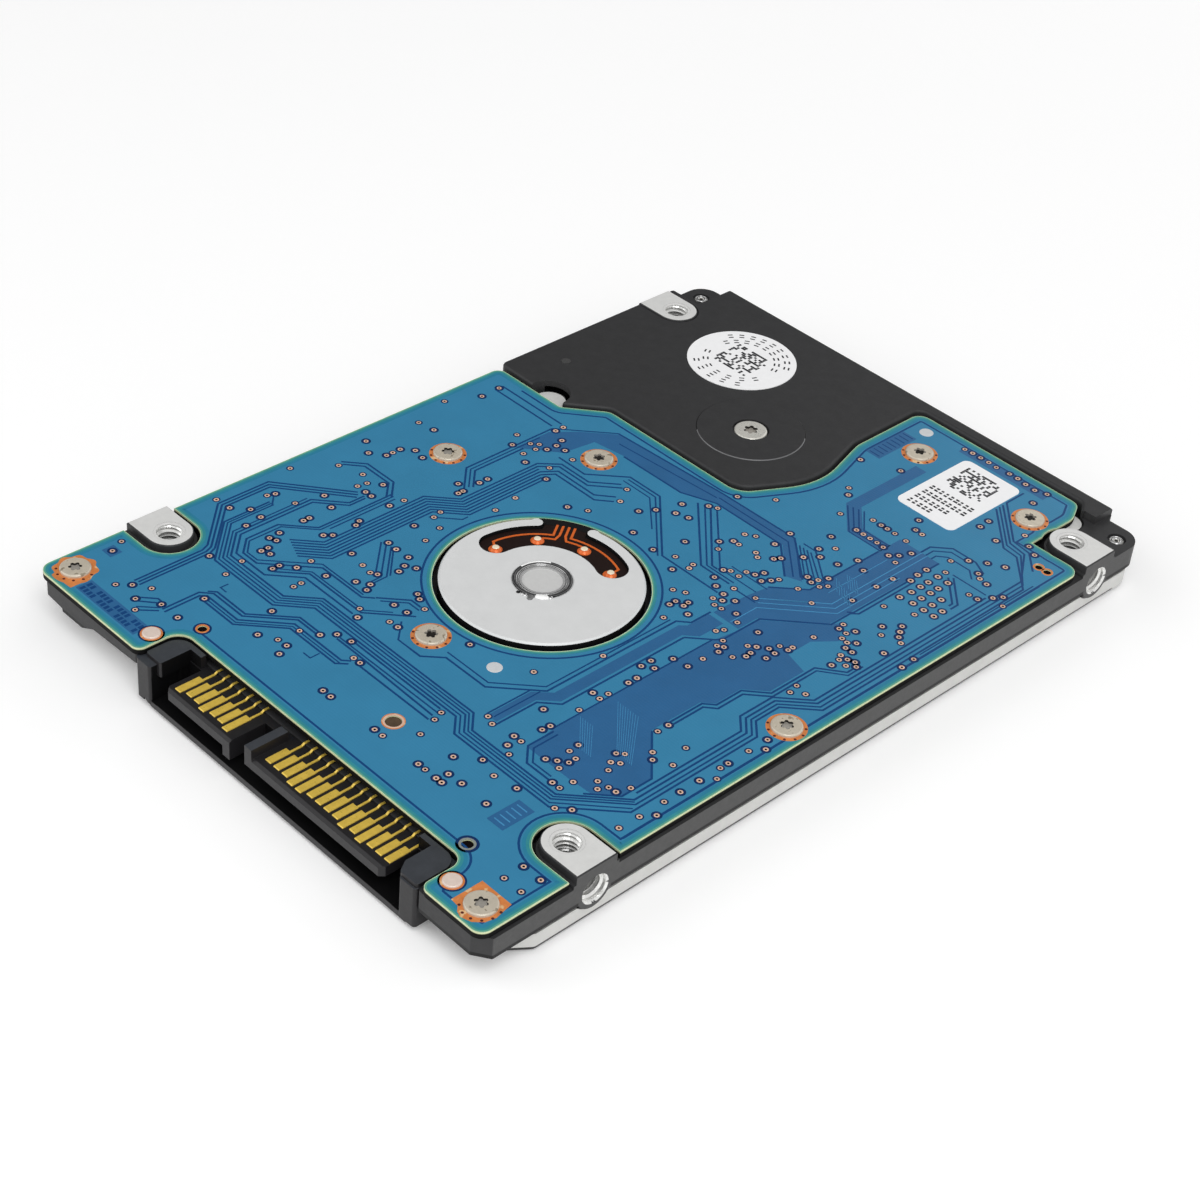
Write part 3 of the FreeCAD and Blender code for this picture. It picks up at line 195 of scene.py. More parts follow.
# sRGB colour, roughness, metalness, colour mottling, mottling scale (per metre),
# roughness spread, and the options of make_material
MATERIALS = {
    # casting and cover
    # painted light: the black paint made lighter on the casting's long sides, where the lamps
    # light them
    "casting_paint_painted_lit_sides": ((70, 70, 70), .50, 0, .12, 1400, .08,
                           dict(grain=(.010, 5200), edge=.10, spec=.30)),
    "casting_black_paint": ((50, 50, 51), .50, 0, .10, 700, .08,
                            dict(grain=(.008, 5200), edge=.10, spec=.30)),
    # near black: painted shade on the pivot step, the flange's ledge and recess walls and the film
    # at the rim gap; also black paint, and dark lines and drops at the bearing
    "casting_shadowed_paint": ((16, 16, 17), .6, 0, .12, 900, .08,
                               dict(grain=(.006, 5200), spec=.15)),
    "casting_machined": ((222, 222, 220), .46, .12, .04, 1500, .08,
                         dict(brush=(.003, (900, 12000, 900)), edge=.06)),
    "casting_tapped_bore": ((236, 236, 234), .20, .72, .05, 2500, .08, dict(grain=(.002, 9000))),
    # painted highlight: lighter paint on the slopes of the step round the pivot
    "casting_step_highlight": ((104, 104, 106), .35, 0, .15, 900, .08, dict(grain=(.004, 5200))),
    "cover_stamped_steel": ((206, 206, 203), .42, .45, .05, 500, .08,
                            dict(brush=(.004, (700, 700, 9000)), edge=.10)),
    # painted shade on the cover's downward-facing lower rim
    "cover_rim_painted_shade": ((34, 34, 34), .5, .3, .10, 900, .08, dict(grain=(.004, 6000))),
    "cover_label_film": ((222, 224, 226), .5, 0, .03, 500, .06, dict(grain=(.002, 3000))),
    "gasket_rubber": ((26, 26, 27), .72, 0, .12, 1500, .1, dict(grain=(.01, 5000))),
    "filter_felt": ((232, 230, 222), .9, 0, .08, 3500, .05, dict(grain=(.03, 7000))),
    # motor and bearing
    "motor_flange_steel": ((222, 223, 223), .50, .10, .03, 420, .06,
                           dict(turned=(.002, 9000), edge=.12)),
    "bearing_sleeve_steel": ((196, 196, 196), .26, .45, .05, 1500, .06,
                             dict(turned=(.002, 16000), edge=.06)),
    "bearing_end_cap_steel": ((214, 214, 213), .42, .15, .04, 1800, .06,
                              dict(grain=(.002, 9000))),
    # white adhesive, also used for a painted highlight arc on the outer bearing ring
    "adhesive_white": ((250, 250, 248), .25, 0, .03, 1800, .06,
                       dict(grain=(.006, 3000), coat=.4)),
    "bearing_ring_steel": ((92, 92, 93), .18, .85, .08, 1800, .06, dict(grain=(.002, 6000))),
    "adhesive_drop": ((104, 104, 104), .30, .1, .10, 2200, .08,
                      dict(grain=(.01, 3000), coat=.4)),
    "motor_lamination_steel": ((120, 120, 124), .45, .9, .08, 2500, .1,
                               dict(brush=(.006, (400, 400, 26000)))),
    "motor_copper_wire": ((205, 110, 60), .3, .9, .10, 3000, .08,
                          dict(brush=(.02, (300, 300, 16000)))),
    "motor_flex_film": ((30, 17, 14), .46, 0, .18, 900, .12, dict(grain=(.004, 4000), spec=.2)),
    "solder_copper": ((238, 112, 46), .32, .25, .12, 2400, .10, dict(grain=(.02, 3600))),
    "solder_bright_centre": ((255, 226, 200), .30, .05, .12, 1900, .08, dict(grain=(.02, 3600))),
    "hub_aluminium": ((206, 207, 208), .3, .95, .04, 1500, .06, dict(turned=(.003, 12000))),
    "platter_mirror": ((214, 216, 220), .06, 1, .01, 300, .02, dict(turned=(.002, 4000))),
    "clamp_steel": ((196, 196, 196), .28, .95, .04, 1500, .06, dict(turned=(.003, 9000))),
    "bright_chrome": ((206, 206, 206), .13, .95, .05, 1800, .06, dict(grain=(.002, 6000))),
    # screws
    "screw_nickel": ((222, 220, 212), .30, .40, .08, 1800, .1,
                     dict(grain=(.006, 6000), edge=.05)),
    "board_screw_nickel": ((206, 196, 178), .32, .22, .10, 1500, .10,
                           dict(grain=(.008, 4200), edge=.07,
                                spots=((150, 138, 118), 1500, .62))),
    # painted shade and painted highlight for the screw recesses, given to floor or walls by which
    # way they face
    "screw_socket_painted_shade": ((30, 27, 24), .5, .1, .15, 2500, .1, dict(spec=.3)),
    "screw_socket_painted_highlight": ((206, 200, 190), .22, .5, .10, 2500, .1, {}),
    # board components, plug and labels
    "insulator_film": ((30, 30, 32), .5, 0, .10, 900, .1, dict(grain=(.004, 3500))),
    "plug_black_plastic": ((30, 29, 31), .42, 0, .10, 1100, .08,
                           dict(grain=(.006, 6000), edge=.09, spec=.36)),
    # painted light: a lighter copy of the plug plastic on its upward faces
    "plug_top_painted_light": ((58, 61, 66), .40, 0, .12, 900, .08,
                         dict(grain=(.008, 6000), edge=.09, spec=.40)),
    # painted shade inside the plug's opening
    "plug_inside_painted_shade": ((9, 9, 10), .6, 0, .10, 1100, .08, dict(spec=.12)),
    "contact_gold": ((232, 196, 84), .30, .25, .12, 1600, .08,
                     dict(grain=(.004, 6000), edge=.05)),
    "chip_epoxy": ((40, 40, 42), .55, 0, .12, 3500, .08, dict(grain=(.010, 9000))),
    "resonator_can": ((200, 198, 190), .28, .95, .05, 2000, .06, dict(grain=(.003, 8000))),
    "ceramic_body": ((176, 152, 120), .55, 0, .12, 3500, .08, dict(grain=(.008, 9000))),
    "peg_pale_pin": ((226, 208, 196), .34, .10, .06, 1800, .08, dict(grain=(.006, 5000))),
    "label_paper": ((246, 246, 247), .62, 0, .02, 1400, .06, dict(grain=(.003, 5200))),
    "label_dark_ink": ((34, 34, 38), .6, 0, .10, 3000, .06, {}),
    # actuator, magnets and small parts
    "pin_steel": ((190, 190, 190), .24, 1, .04, 2500, .06, dict(grain=(.002, 9000))),
    "bracket_steel": ((170, 170, 172), .36, .9, .06, 1500, .08,
                      dict(brush=(.004, (800, 9000, 800)))),
    "connector_plastic": ((226, 218, 196), .5, 0, .06, 2000, .08, dict(grain=(.006, 6000))),
    "yoke_nickel_steel": ((184, 180, 168), .38, .9, .07, 1200, .08, dict(grain=(.008, 5000))),
    "magnet_nickel": ((200, 196, 184), .24, .95, .05, 1500, .06, dict(grain=(.004, 6000))),
    "stop_rubber": ((34, 33, 32), .7, 0, .12, 2500, .08, dict(grain=(.012, 7000))),
    "ramp_plastic": ((214, 206, 184), .46, 0, .06, 2500, .08, dict(grain=(.006, 7000))),
    "arm_aluminium": ((204, 206, 208), .36, .9, .05, 1500, .08,
                      dict(brush=(.006, (900, 9000, 900)))),
    "coil_frame_plastic": ((44, 42, 40), .5, 0, .12, 2500, .08, dict(grain=(.010, 7000))),
    "suspension_steel": ((204, 204, 206), .22, 1, .04, 2500, .06,
                         dict(brush=(.002, (9000, 900, 900)))),
    "slider_ceramic": ((58, 56, 56), .3, .2, .08, 5000, .06, dict(grain=(.002, 12000))),
    "latch_plastic": ((44, 44, 46), .46, 0, .10, 2500, .08, dict(grain=(.008, 7000))),
    "arm_flex_film": ((176, 104, 44), .38, 0, .12, 1500, .1, dict(grain=(.004, 5000), coat=.2)),
    # circuit board artwork
    "board_solder_mask": ((56, 128, 166), .34, 0, .05, 150, .05,
                          dict(weave=(.002, 900), spec=.22)),
    "board_laminate_edge": ((216, 222, 178), .7, 0, .14, 2200, .08,
                            dict(brush=(.01, (1200, 1200, 26000)), spec=.15)),
    "board_gap_lines": ((20, 66, 118), .36, 0, .08, 900, .06, dict(spec=.2)),
    "board_bare_areas": ((45, 98, 145), .36, 0, .06, 260, .05,
                         dict(weave=(.002, 900), spec=.30)),
    "board_light_traces": ((70, 140, 186), .34, 0, .06, 900, .06, dict(spec=.2)),
    "board_edge_cream": ((196, 216, 176), .42, 0, .16, 1400, .08,
                         dict(grain=(.003, 5000), spec=.2)),
    "board_edge_green": ((92, 160, 138), .38, 0, .12, 900, .08, dict(spec=.2)),
    "board_edge_teal": ((54, 136, 146), .36, 0, .10, 600, .06, dict(spec=.2)),
    "board_edge_blend": ((46, 126, 156), .35, 0, .08, 400, .06, dict(spec=.2)),
    "board_via_ring": ((216, 180, 158), .42, 0, .16, 1600, .10,
                       dict(grain=(.004, 6000), spec=.3)),
    "board_via_hole": ((14, 6, 6), .8, 0, .20, 2500, .10, dict(spec=.05)),
    "board_hole_floor": ((84, 68, 52), .6, 0, .25, 900, .1, dict(grain=(.01, 3000), spec=.2)),
    "board_via_halo": ((14, 46, 92), .40, 0, .10, 1500, .08, dict(spec=.2)),
    "board_copper_pad": ((216, 132, 72), .40, .1, .14, 1100, .12,
                         dict(grain=(.006, 3500), spots=((232, 190, 140), 900, .60))),
    "board_pad_via": ((84, 22, 14), .5, 0, .2, 2500, .1, {}),
    "board_white_dot": ((204, 206, 208), .5, 0, .04, 1500, .06, dict(grain=(.004, 4500))),
    "board_tinned_ring": ((170, 178, 172), .34, .5, .08, 1500, .08, {}),
    "floor_pale": ((254, 254, 254), .75, 0, .004, 6, .04, {}),
}
material_of = {name: make_material(name, *row[:-1], **row[-1])
               for name, row in MATERIALS.items()}


def shader_parts(name):
    """The node tree, main shader, its base colour source and the object coordinates."""
    tree = material_of[name].node_tree
    shader = next(n for n in tree.nodes if n.type == "BSDF_PRINCIPLED")
    coords = next(n for n in tree.nodes if n.type == "TEX_COORD").outputs["Object"]
    return tree, shader, shader.inputs["Base Color"].links[0].from_socket, coords


def darken(name, groups, rgb=(12, 12, 13)):
    """Mix in a dark colour as painted shade where every limit of any one group holds. A limit is
    (axis, centre, side, value, softness): side 1 is above the value, -1 below it. With a centre,
    the distance from it is compared; axis R is the distance from the axis of the side holes at
    that y."""
    tree, shader, colour, coords = shader_parts(name)
    xyz = add_node(tree, "SeparateXYZ", {0: coords}).outputs

    def share(axis, centre, side, value, softness):
        if axis == "R":
            place = from_axis(tree, coords, (0, centre * MM, SIDE_HOLE_Z * MM), (0, 1, 1))
        else:
            place = xyz[axis]
            if centre is not None:
                offset = add_node(tree, "Math", {0: place, 1: centre * MM},
                                  operation="SUBTRACT")
                place = add_node(tree, "Math", {0: offset.outputs[0]},
                                 operation="ABSOLUTE").outputs[0]
        return add_node(tree, "MapRange", {"From Min": (value - side * softness) * MM,
                                           "From Max": value * MM,
                                           "Value": place}).outputs[0]

    def combine(operation, parts):
        total = parts[0]
        for part in parts[1:]:
            total = add_node(tree, "Math", {0: total, 1: part}, operation=operation).outputs[0]
        return total

    dark = combine("MAXIMUM", [combine("MULTIPLY", [share(*limit) for limit in group])
                               for group in groups])
    tree.links.new(mix_colours(tree, dark, colour, linear(rgb)), shader.inputs["Base Color"])


# lower edge of the casting's long side
casting = NODES["base_casting"].data
SIDE_LOW = min(casting.vertices[i].co.z for face in casting.polygons
               if face.normal.x > 0.98 and face.center.x > 0.0348 and abs(face.center.y) < 0.030
               for i in face.vertices) * 1000
# painted shade: the top holes' bores and threads turn darker from z 6.0 mm down to 4.3 mm
darken("casting_tapped_bore", [[("Z", None, -1, 4.30, 1.70), ("X", 0.0, -1, 32.30, 0.10)]],
       rgb=(70, 70, 70))
# the joint between casting and cover lies in shadow, except at the bosses of the side holes
for name in ("casting_paint_painted_lit_sides", "casting_black_paint"):
    darken(name, [[("Z", None, -1, SIDE_LOW + 0.40, 0.06)]
                  + [("Y", y, 1, 2.10, 0.05) for y in HOLE_YS]])
# painted shadow: the cover's sides near black within 2.42 mm of the side holes' axes, under the
# casting's bosses
darken("cover_stamped_steel",
       [[("X", 0.0, 1, 34.00, 0.05), ("R", y, -1, 2.42, 0.06)] for y in HOLE_YS],
       rgb=(30, 30, 30))


def shade_board_edge():
    """The lower half of the board's cut edge is near black: painted shade."""
    tree, shader, colour, coords = shader_parts("board_laminate_edge")
    height = add_node(tree, "SeparateXYZ", {0: coords}).outputs["Z"]
    lit = add_node(tree, "MapRange", {"From Min": (BOARD_Z - 0.26) * MM,
                                      "From Max": (BOARD_Z - 0.13) * MM, "Value": height})
    tree.links.new(mix_colours(tree, lit.outputs[0], linear((6, 6, 6)), colour),
                   shader.inputs["Base Color"])


shade_board_edge()

# ------------------------------------------------------------------ materials of the CAD pieces
PIECES_OF = {
    "casting_black_paint": "base_casting",
    "motor_flange_steel": "motor_flange",
    "bearing_sleeve_steel": "bearing_sleeve",
    "bearing_end_cap_steel": "bearing_end_cap",
    "motor_lamination_steel": "stator_core",
    "motor_copper_wire": "stator_coils voice_coil",
    "motor_flex_film": "motor_flex",
    "solder_copper": "motor_solder_joints",
    "cover_stamped_steel": "top_cover",
    "gasket_rubber": "cover_gasket",
    "screw_nickel": "cover_screws pivot_screw bracket_screws ramp_screw clamp_screws",
    "cover_label_film": "cover_label",
    "filter_felt": "breather_filter recirculation_filter",
    "board_solder_mask": "circuit_board",
    "board_screw_nickel": "board_screws",
    "insulator_film": "board_insulator",
    "plug_black_plastic": "sata_housing",
    "contact_gold": "sata_signal_contacts sata_power_contacts",
    "peg_pale_pin": "connector_pegs",
    "chip_epoxy": "controller_chip memory_chip motor_driver_chip flash_chip preamp_chip",
    "resonator_can": "crystal_resonator",
    "ceramic_body": "shock_sensors board_passives",
    "pin_steel": "pivot_shaft yoke_posts latch_pin spindle_shaft pivot_bearings",
    "bracket_steel": "flex_bracket",
    "connector_plastic": "head_connector",
    "arm_flex_film": "flex_loop arm_flex",
    "yoke_nickel_steel": "vcm_cover_yoke vcm_base_yoke",
    "magnet_nickel": "vcm_cover_magnet vcm_base_magnet rotor_magnet",
    "stop_rubber": "crash_stops",
    "ramp_plastic": "load_ramp",
    "label_paper": "round_label board_label",
    "hub_aluminium": "spindle_hub",
    "platter_mirror": "platter",
    "clamp_steel": "disk_clamp",
    "arm_aluminium": "actuator_arm",
    "coil_frame_plastic": "coil_frame",
    "suspension_steel": "head_suspensions",
    "slider_ceramic": "head_sliders",
    "latch_plastic": "latch_lever",
}
main_material = {piece: name for name, pieces in PIECES_OF.items() for piece in pieces.split()}
for piece, item in NODES.items():
    item.data.materials.clear()
    item.data.materials.append(material_of[main_material[piece]])
    for face in item.data.polygons:
        face.material_index = 0


def add_slots(piece, *names):
    """Append materials to a CAD piece and return their slot numbers."""
    slots = NODES[piece].data.materials
    first = len(slots)
    for name in names:
        slots.append(material_of[name])
    return range(first, len(slots))


def faces_of(piece):
    for face in NODES[piece].data.polygons:
        yield face, face.center * 1000, face.normal


def distance(point, x, y):
    return math.hypot(point.x - x, point.y - y)


def paint_casting():
    """Machined pads and discs, tapped bores, painted light on the long sides, and the low step
    round the pivot, with a painted highlight where it faces +x and -y and painted shade elsewhere."""
    machined, bore, lit_sides_slot, step_light, shadow = add_slots(
        "base_casting", "casting_machined", "casting_tapped_bore", "casting_paint_painted_lit_sides",
        "casting_step_highlight", "casting_shadowed_paint")
    for face, c, n in faces_of("base_casting"):
        # painted light: a lighter copy of the black paint on the long sides
        if abs(n.x) > 0.8 and abs(c.x) > 34.6:
            face.material_index = lit_sides_slot
        if n.z > 0.9 and c.z > CASTING_TOP - 0.03:
            face.material_index = machined
        for x, y in TOP_HOLES:
            if distance(c, x, y) < HOLE_REACH and c.z > CASTING_TOP - 3.2:
                in_bore = n.z < 0.95 or c.z < CASTING_TOP - 1
                face.material_index = bore if in_bore else machined
            near_side_hole = abs(c.y - y) < HOLE_REACH and abs(c.z - SIDE_HOLE_Z) < HOLE_REACH
            if near_side_hole and abs(c.x) > 32.0 and abs(n.x) < 0.9:
                face.material_index = bore
        for x, y, radius, z in MACHINED_DISCS:
            if distance(c, x, y) < radius and abs(c.z - z) < 0.03 and n.z > 0.9:
                face.material_index = machined
        # painted highlight on the step's slopes facing +x and -y, painted shade on the rest
        if 6.2 < distance(c, *PIVOT) < 6.46 and 0.2 < n.z < 0.98 and c.z > 6.8:
            face.material_index = step_light if n.x * 0.68 - n.y * 0.73 > 0.10 else shadow


def paint_flange():
    """Bare top; the side walls and ledge near black, partly black paint and partly painted shade.
    """
    (dark,) = add_slots("motor_flange", "casting_shadowed_paint")
    for face, c, n in faces_of("motor_flange"):
        if (abs(n.z) < 0.4 or abs(c.z - 6.45) < 0.02) and distance(c, *SPINDLE) > 5.0:
            face.material_index = dark


def paint_cover():
    """The turned lower rim carries painted shade."""
    (rim_slot,) = add_slots("top_cover", "cover_rim_painted_shade")
    for face, c, n in faces_of("top_cover"):
        at_rim = abs(c.x) > 33.2 or c.y > 47.6 or c.y < -45.6 or abs(c.x) - c.y > 75.4
        if -0.95 < n.z < -0.04 and c.z < 0.68 and at_rim and n.x * c.x + n.y * c.y > 0:
            face.material_index = rim_slot


def paint_recesses(piece, centres, top):
    """Screw recesses in painted light and shade: the lit ones get a bright floor and dark walls,
    the others the reverse.
    """
    recess, wall = add_slots(piece, "screw_socket_painted_shade", "screw_socket_painted_highlight")
    for face, c, n in faces_of(piece):
        lit = piece == "pivot_screw" or c.x > 28 or c.x < -20
        radius = min(distance(c, x, y) for x, y in centres)
        if radius < 0.95 and top - 0.6 < c.z < top:
            face.material_index = wall if lit == (n.z > 0.5) else recess


def paint_plug():
    """Painted light on the upper faces, painted shade inside."""
    upper, inside = add_slots("sata_housing", "plug_top_painted_light", "plug_inside_painted_shade")
    for face, c, n in faces_of("sata_housing"):
        if n.z > 0.5 and c.z > 5.4:
            face.material_index = upper
        inner_floor = n.z > 0.9 and 1.1 < c.z < 1.3
        inner_back = n.y < -0.9 and c.y > -46.7 and c.z > 1.2
        inner_end = abs(n.x) > 0.9 and (-15.0 < c.x < -14.2 or 22.5 < c.x < 23.5)
        if inner_floor or inner_back or inner_end:
            face.material_index = inside


def paint_board():
    """Solder mask on the flat faces, bare laminate on the cut edges."""
    (laminate,) = add_slots("circuit_board", "board_laminate_edge")
    for face, _, n in faces_of("circuit_board"):
        if abs(n.z) < 0.5:
            face.material_index = laminate


paint_casting()
paint_flange()
paint_cover()
paint_recesses("board_screws", BOARD_SCREWS, 6.83)
paint_recesses("pivot_screw", [PIVOT], top_of("pivot_screw") - 0.03)
paint_plug()
paint_board()


# ------------------------------------------------------------------ plane geometry
def area(loop):
    return sum(a[0] * b[1] - b[0] * a[1] for a, b in zip(loop, loop[1:] + loop[:1])) / 2


def circle(x, y, radius, count):
    angles = [2 * math.pi * k / count for k in range(count)]
    return [(x + radius * math.cos(a), y + radius * math.sin(a)) for a in angles]


def rect(x0, y0, x1, y1):
    return [(x0, y0), (x1, y0), (x1, y1), (x0, y1)]


def polar(x, y, radius, degrees):
    angle = math.radians(degrees)
    return x + radius * math.cos(angle), y + radius * math.sin(angle)


def directions(points):
    """Unit vector from each point to the next, the last one back to the first."""
    return [(b - a).normalized() for a, b in zip(points, points[1:] + points[:1])]


def mitre(before, after, reach, least):
    """Shift to the left at a corner; least holds back the shift at sharp corners."""
    side = Vector((-before.y, before.x))
    middle = side + Vector((-after.y, after.x))
    if middle.length < 1e-6:
        middle = side
    middle.normalize()
    return middle * (reach / max(least, middle.dot(side)))


class Piece:
    """A mesh collected in mm and made into an object in metres; the first material is the
    default for its faces."""

    def __init__(self, name, *materials, slot=None, smooth=False):
        self.name, self.materials, self.slot, self.smooth = name, materials, slot, smooth
        self.verts, self.faces, self.face_slots = [], [], []

    def add(self, verts, faces, material=None):
        start = len(self.verts)
        self.verts += verts
        self.faces += [tuple(i + start for i in face) for face in faces]
        self.face_slots += [self.materials.index(material) if material else 0] * len(faces)

    def prism(self, points, z0, z1, material=None):
        n = len(points)
        if area(points) < 0:
            points = points[::-1]
        verts = [(x, y, z) for z in (z0, z1) for x, y in points]
        faces = [tuple(range(n - 1, -1, -1)), tuple(range(n, 2 * n))]
        faces += [(i, (i + 1) % n, n + (i + 1) % n, n + i) for i in range(n)]
        self.add(verts, faces, material)

    def band(self, first, second, z0, z1, material=None, closed=True):
        """Solid band between two lines with the same number of points."""
        n = len(first)
        verts = [(x, y, z) for z in (z0, z1) for line in (first, second) for x, y in line]
        faces = []
        for i in range(n if closed else n - 1):
            j = (i + 1) % n
            faces += [(2 * n + i, 2 * n + j, 3 * n + j, 3 * n + i), (j, i, n + i, n + j),
                      (i, j, 2 * n + j, 2 * n + i), (n + j, n + i, 3 * n + i, 3 * n + j)]
        if not closed:
            faces += [(0, 2 * n, 3 * n, n), (n - 1, 2 * n - 1, 4 * n - 1, 3 * n - 1)]
        self.add(verts, faces, material)

    def strip(self, points, width, z0, z1, material=None, closed=False):
        """Band of even width along a line, with mitred corners."""
        points = [Vector(p) for p in points]
        legs = directions(points)
        if not closed:
            legs[-1] = legs[-2]
        left, right = [], []
        for i, point in enumerate(points):
            before = legs[i - 1] if closed or i > 0 else legs[0]
            shift = mitre(before, legs[i], width / 2, 0.45)
            left.append(tuple(point + shift))
            right.append(tuple(point - shift))
        self.band(right, left, z0, z1, material, closed)

    def lathe(self, x, y, profile, segments, material=None):
        """Closed profile of (radius, z) turned about the vertical at x, y."""
        verts, faces = [], []
        m = len(profile)
        for k in range(segments):
            a = 2 * math.pi * k / segments
            verts += [(x + r * math.cos(a), y + r * math.sin(a), z) for r, z in profile]
            k2 = (k + 1) % segments
            for i in range(m):
                j = (i + 1) % m
                faces.append((k * m + i, k2 * m + i, k2 * m + j, k * m + j))
        self.add(verts, faces, material)

    def disc(self, x, y, radius, z0, z1, segments, material=None):
        self.prism(circle(x, y, radius, segments), z0, z1, material)

    def annulus(self, x, y, outer, inner, z0, z1, segments, material=None):
        self.band(circle(x, y, outer, segments), circle(x, y, inner, segments), z0, z1,
                  material)

    def done(self):
        mesh = bpy.data.meshes.new(self.name)
        mesh.from_pydata([(x * MM, y * MM, z * MM) for x, y, z in self.verts], [], self.faces)
        for name in self.materials:
            mesh.materials.append(material_of[name])
        mesh.polygons.foreach_set("material_index", self.face_slots)
        work = bmesh.new()
        work.from_mesh(mesh)
        bmesh.ops.remove_doubles(work, verts=work.verts, dist=1e-9)
        bmesh.ops.recalc_face_normals(work, faces=work.faces)
        work.to_mesh(mesh)
        work.free()
        if self.smooth:
            mesh.polygons.foreach_set("use_smooth", [True] * len(mesh.polygons))
        mesh.update()
        item = bpy.data.objects.new(self.name, mesh)
        scene.collection.objects.link(item)
        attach(item, "root")


# ------------------------------------------------------------------ board outline
def top_outline(piece, height, tolerance=0.004):
    """Largest boundary loop of a CAD piece's upward faces at a height."""
    mesh = NODES[piece].data
    points, edges = {}, {}
    for face in mesh.polygons:
        if face.normal.z > 0.99 and abs(face.center.z * 1000 - height) < tolerance:
            keys = []
            for i in face.vertices:
                place = mesh.vertices[i].co
                key = (round(place.x * 1e6), round(place.y * 1e6))
                points.setdefault(key, (place.x * 1000, place.y * 1000))
                keys.append(key)
            for a, b in zip(keys, keys[1:] + keys[:1]):
                if a == b:
                    continue
                if (b, a) in edges:
                    del edges[(b, a)]
                else:
                    edges[(a, b)] = True
    following = {}
    for a, b in edges:
        following.setdefault(a, []).append(b)
    loops = []
    while following:
        start = current = next(iter(following))
        loop = [start]
        while current in following:
            ahead = following[current].pop()
            if not following[current]:
                del following[current]
            if ahead == start:
                break
            loop.append(ahead)
            current = ahead
        loops.append([points[key] for key in loop])
    return max(loops, key=lambda loop: abs(area(loop)))


def resample(loop, step):
    """Points at even steps along each straight run, corners kept."""
    out = []
    for a, b in zip(loop, loop[1:] + loop[:1]):
        count = max(1, int(math.dist(a, b) / step))
        out += [(a[0] + (b[0] - a[0]) * j / count, a[1] + (b[1] - a[1]) * j / count)
                for j in range(count)]
    return out


def weld(loop, tolerance):
    """Drop points that lie within the tolerance of the one before."""
    out = [loop[0]]
    for point in loop[1:]:
        if math.dist(point, out[-1]) > tolerance:
            out.append(point)
    if math.dist(out[0], out[-1]) < tolerance:
        out.pop()
    return out


def inset(loop, reach):
    """Loop moved inwards (it runs anticlockwise), with mitres held back."""
    points = [Vector(p) for p in loop]
    legs = directions(points)
    return [tuple(point + mitre(legs[i - 1], legs[i], reach, 0.5))
            for i, point in enumerate(points)]


def segment_distance(point, a, b):
    dx, dy = b[0] - a[0], b[1] - a[1]
    square = dx * dx + dy * dy
    along = 0
    if square:
        along = max(0.0, min(1.0, ((point[0] - a[0]) * dx + (point[1] - a[1]) * dy) / square))
    return math.hypot(point[0] - a[0] - along * dx, point[1] - a[1] - along * dy)


def clean_inset(loop, reach):
    """Inset loop without the points that end up nearer than reach to the outline."""
    out = [p for p in inset(loop, reach)
           if min(segment_distance(p, loop[i - 1], loop[i])
                  for i in range(len(loop))) > reach * 0.985]
    return weld(out, 0.12)


outline = weld(top_outline("circuit_board", BOARD_Z), 0.02)
if area(outline) < 0:
    outline = outline[::-1]
outline = weld(resample(outline, 0.8), 0.05)

# ------------------------------------------------------------------ board artwork
SUNK = BOARD_Z - 0.02              # printed layers start inside the board
AREA_TOP = BOARD_Z + 0.006
LINE_TOP = BOARD_Z + 0.011
PAD_TOP = BOARD_Z + 0.016
RAISED_TOP = BOARD_Z + 0.022
VIA_TOP = BOARD_Z + 0.030
WINDOW_RADIUS = 11.6               # motor window
EDGE_LAYERS = ("board_edge_cream", "board_edge_green", "board_edge_teal", "board_edge_blend")


def points_of(text):
    return [tuple(float(v) for v in pair.split(",")) for pair in text.split()]


def window_circle(margin):
    return circle(*SPINDLE, WINDOW_RADIUS + margin, 160)


# bands of colour along the outline and round the motor window
border = Piece("board_edge_band", *EDGE_LAYERS, slot="board_laminate")
loops = [inset(outline, reach) for reach in (0.01, 0.07, 0.26, 0.56, 0.92)]
for layer, loop, inner_loop in zip(EDGE_LAYERS, loops, loops[1:]):
    border.band(loop, inner_loop, SUNK, LINE_TOP, layer)
loops = [window_circle(margin) for margin in (0.02, 0.11, 0.28, 0.55)]
for layer, loop, outer_loop in zip(EDGE_LAYERS, loops, loops[1:]):
    border.band(outer_loop, loop, SUNK, LINE_TOP, layer)
border.done()

# bare areas, where the copper pour stops and only traces run: corners x,y
BARE_AREAS = [
    """17.9,-25.8 17.9,-3.4 18.4,0 18.4,2.9 23.7,8.2 24.3,9.6 26.2,7 24.4,4.6 24.4,1.2 27.3,.4
    27.3,-4.7 25.2,-6.8 25.2,-10.4 24.1,-11.5 24.1,-18.3 29.1,-23.3 29.1,-27.4 27.2,-29.4
    24.2,-29.6 18.4,-29.6""",
    """18.3,26 18.3,11.2 15.2,8 14.8,5 14.6,.2 18.2,.2 18.2,3.1 23.6,8.4 23.8,26""",
    """-15.6,15.7 0,16.6 10.9,16.7 16.8,11.6 15,10.9 10.9,14.9 1,14.9 -3,13.2 -12,13.1
    -16.2,12.4 -16.8,8 -20.9,4.4 -20.9,9.6 -18.9,12.4""",
    """9.9,38.6 11.5,38.6 11.5,27.3 14.3,24.3 18.4,24.3 18.4,22.5 13.6,22.5 9.9,26.5""",
    """13.9,-4.3 14.5,-3.6 14.5,-.4 16.6,-.4 16.6,-3.9 15.3,-5.2 15.3,-22.3 13.6,-24.1
    13.6,-29.4 12.3,-29.4 12.3,-23.6 13.9,-21.9""",
    """11,46.5 23.4,46.5 23.4,45 11,45""",
]
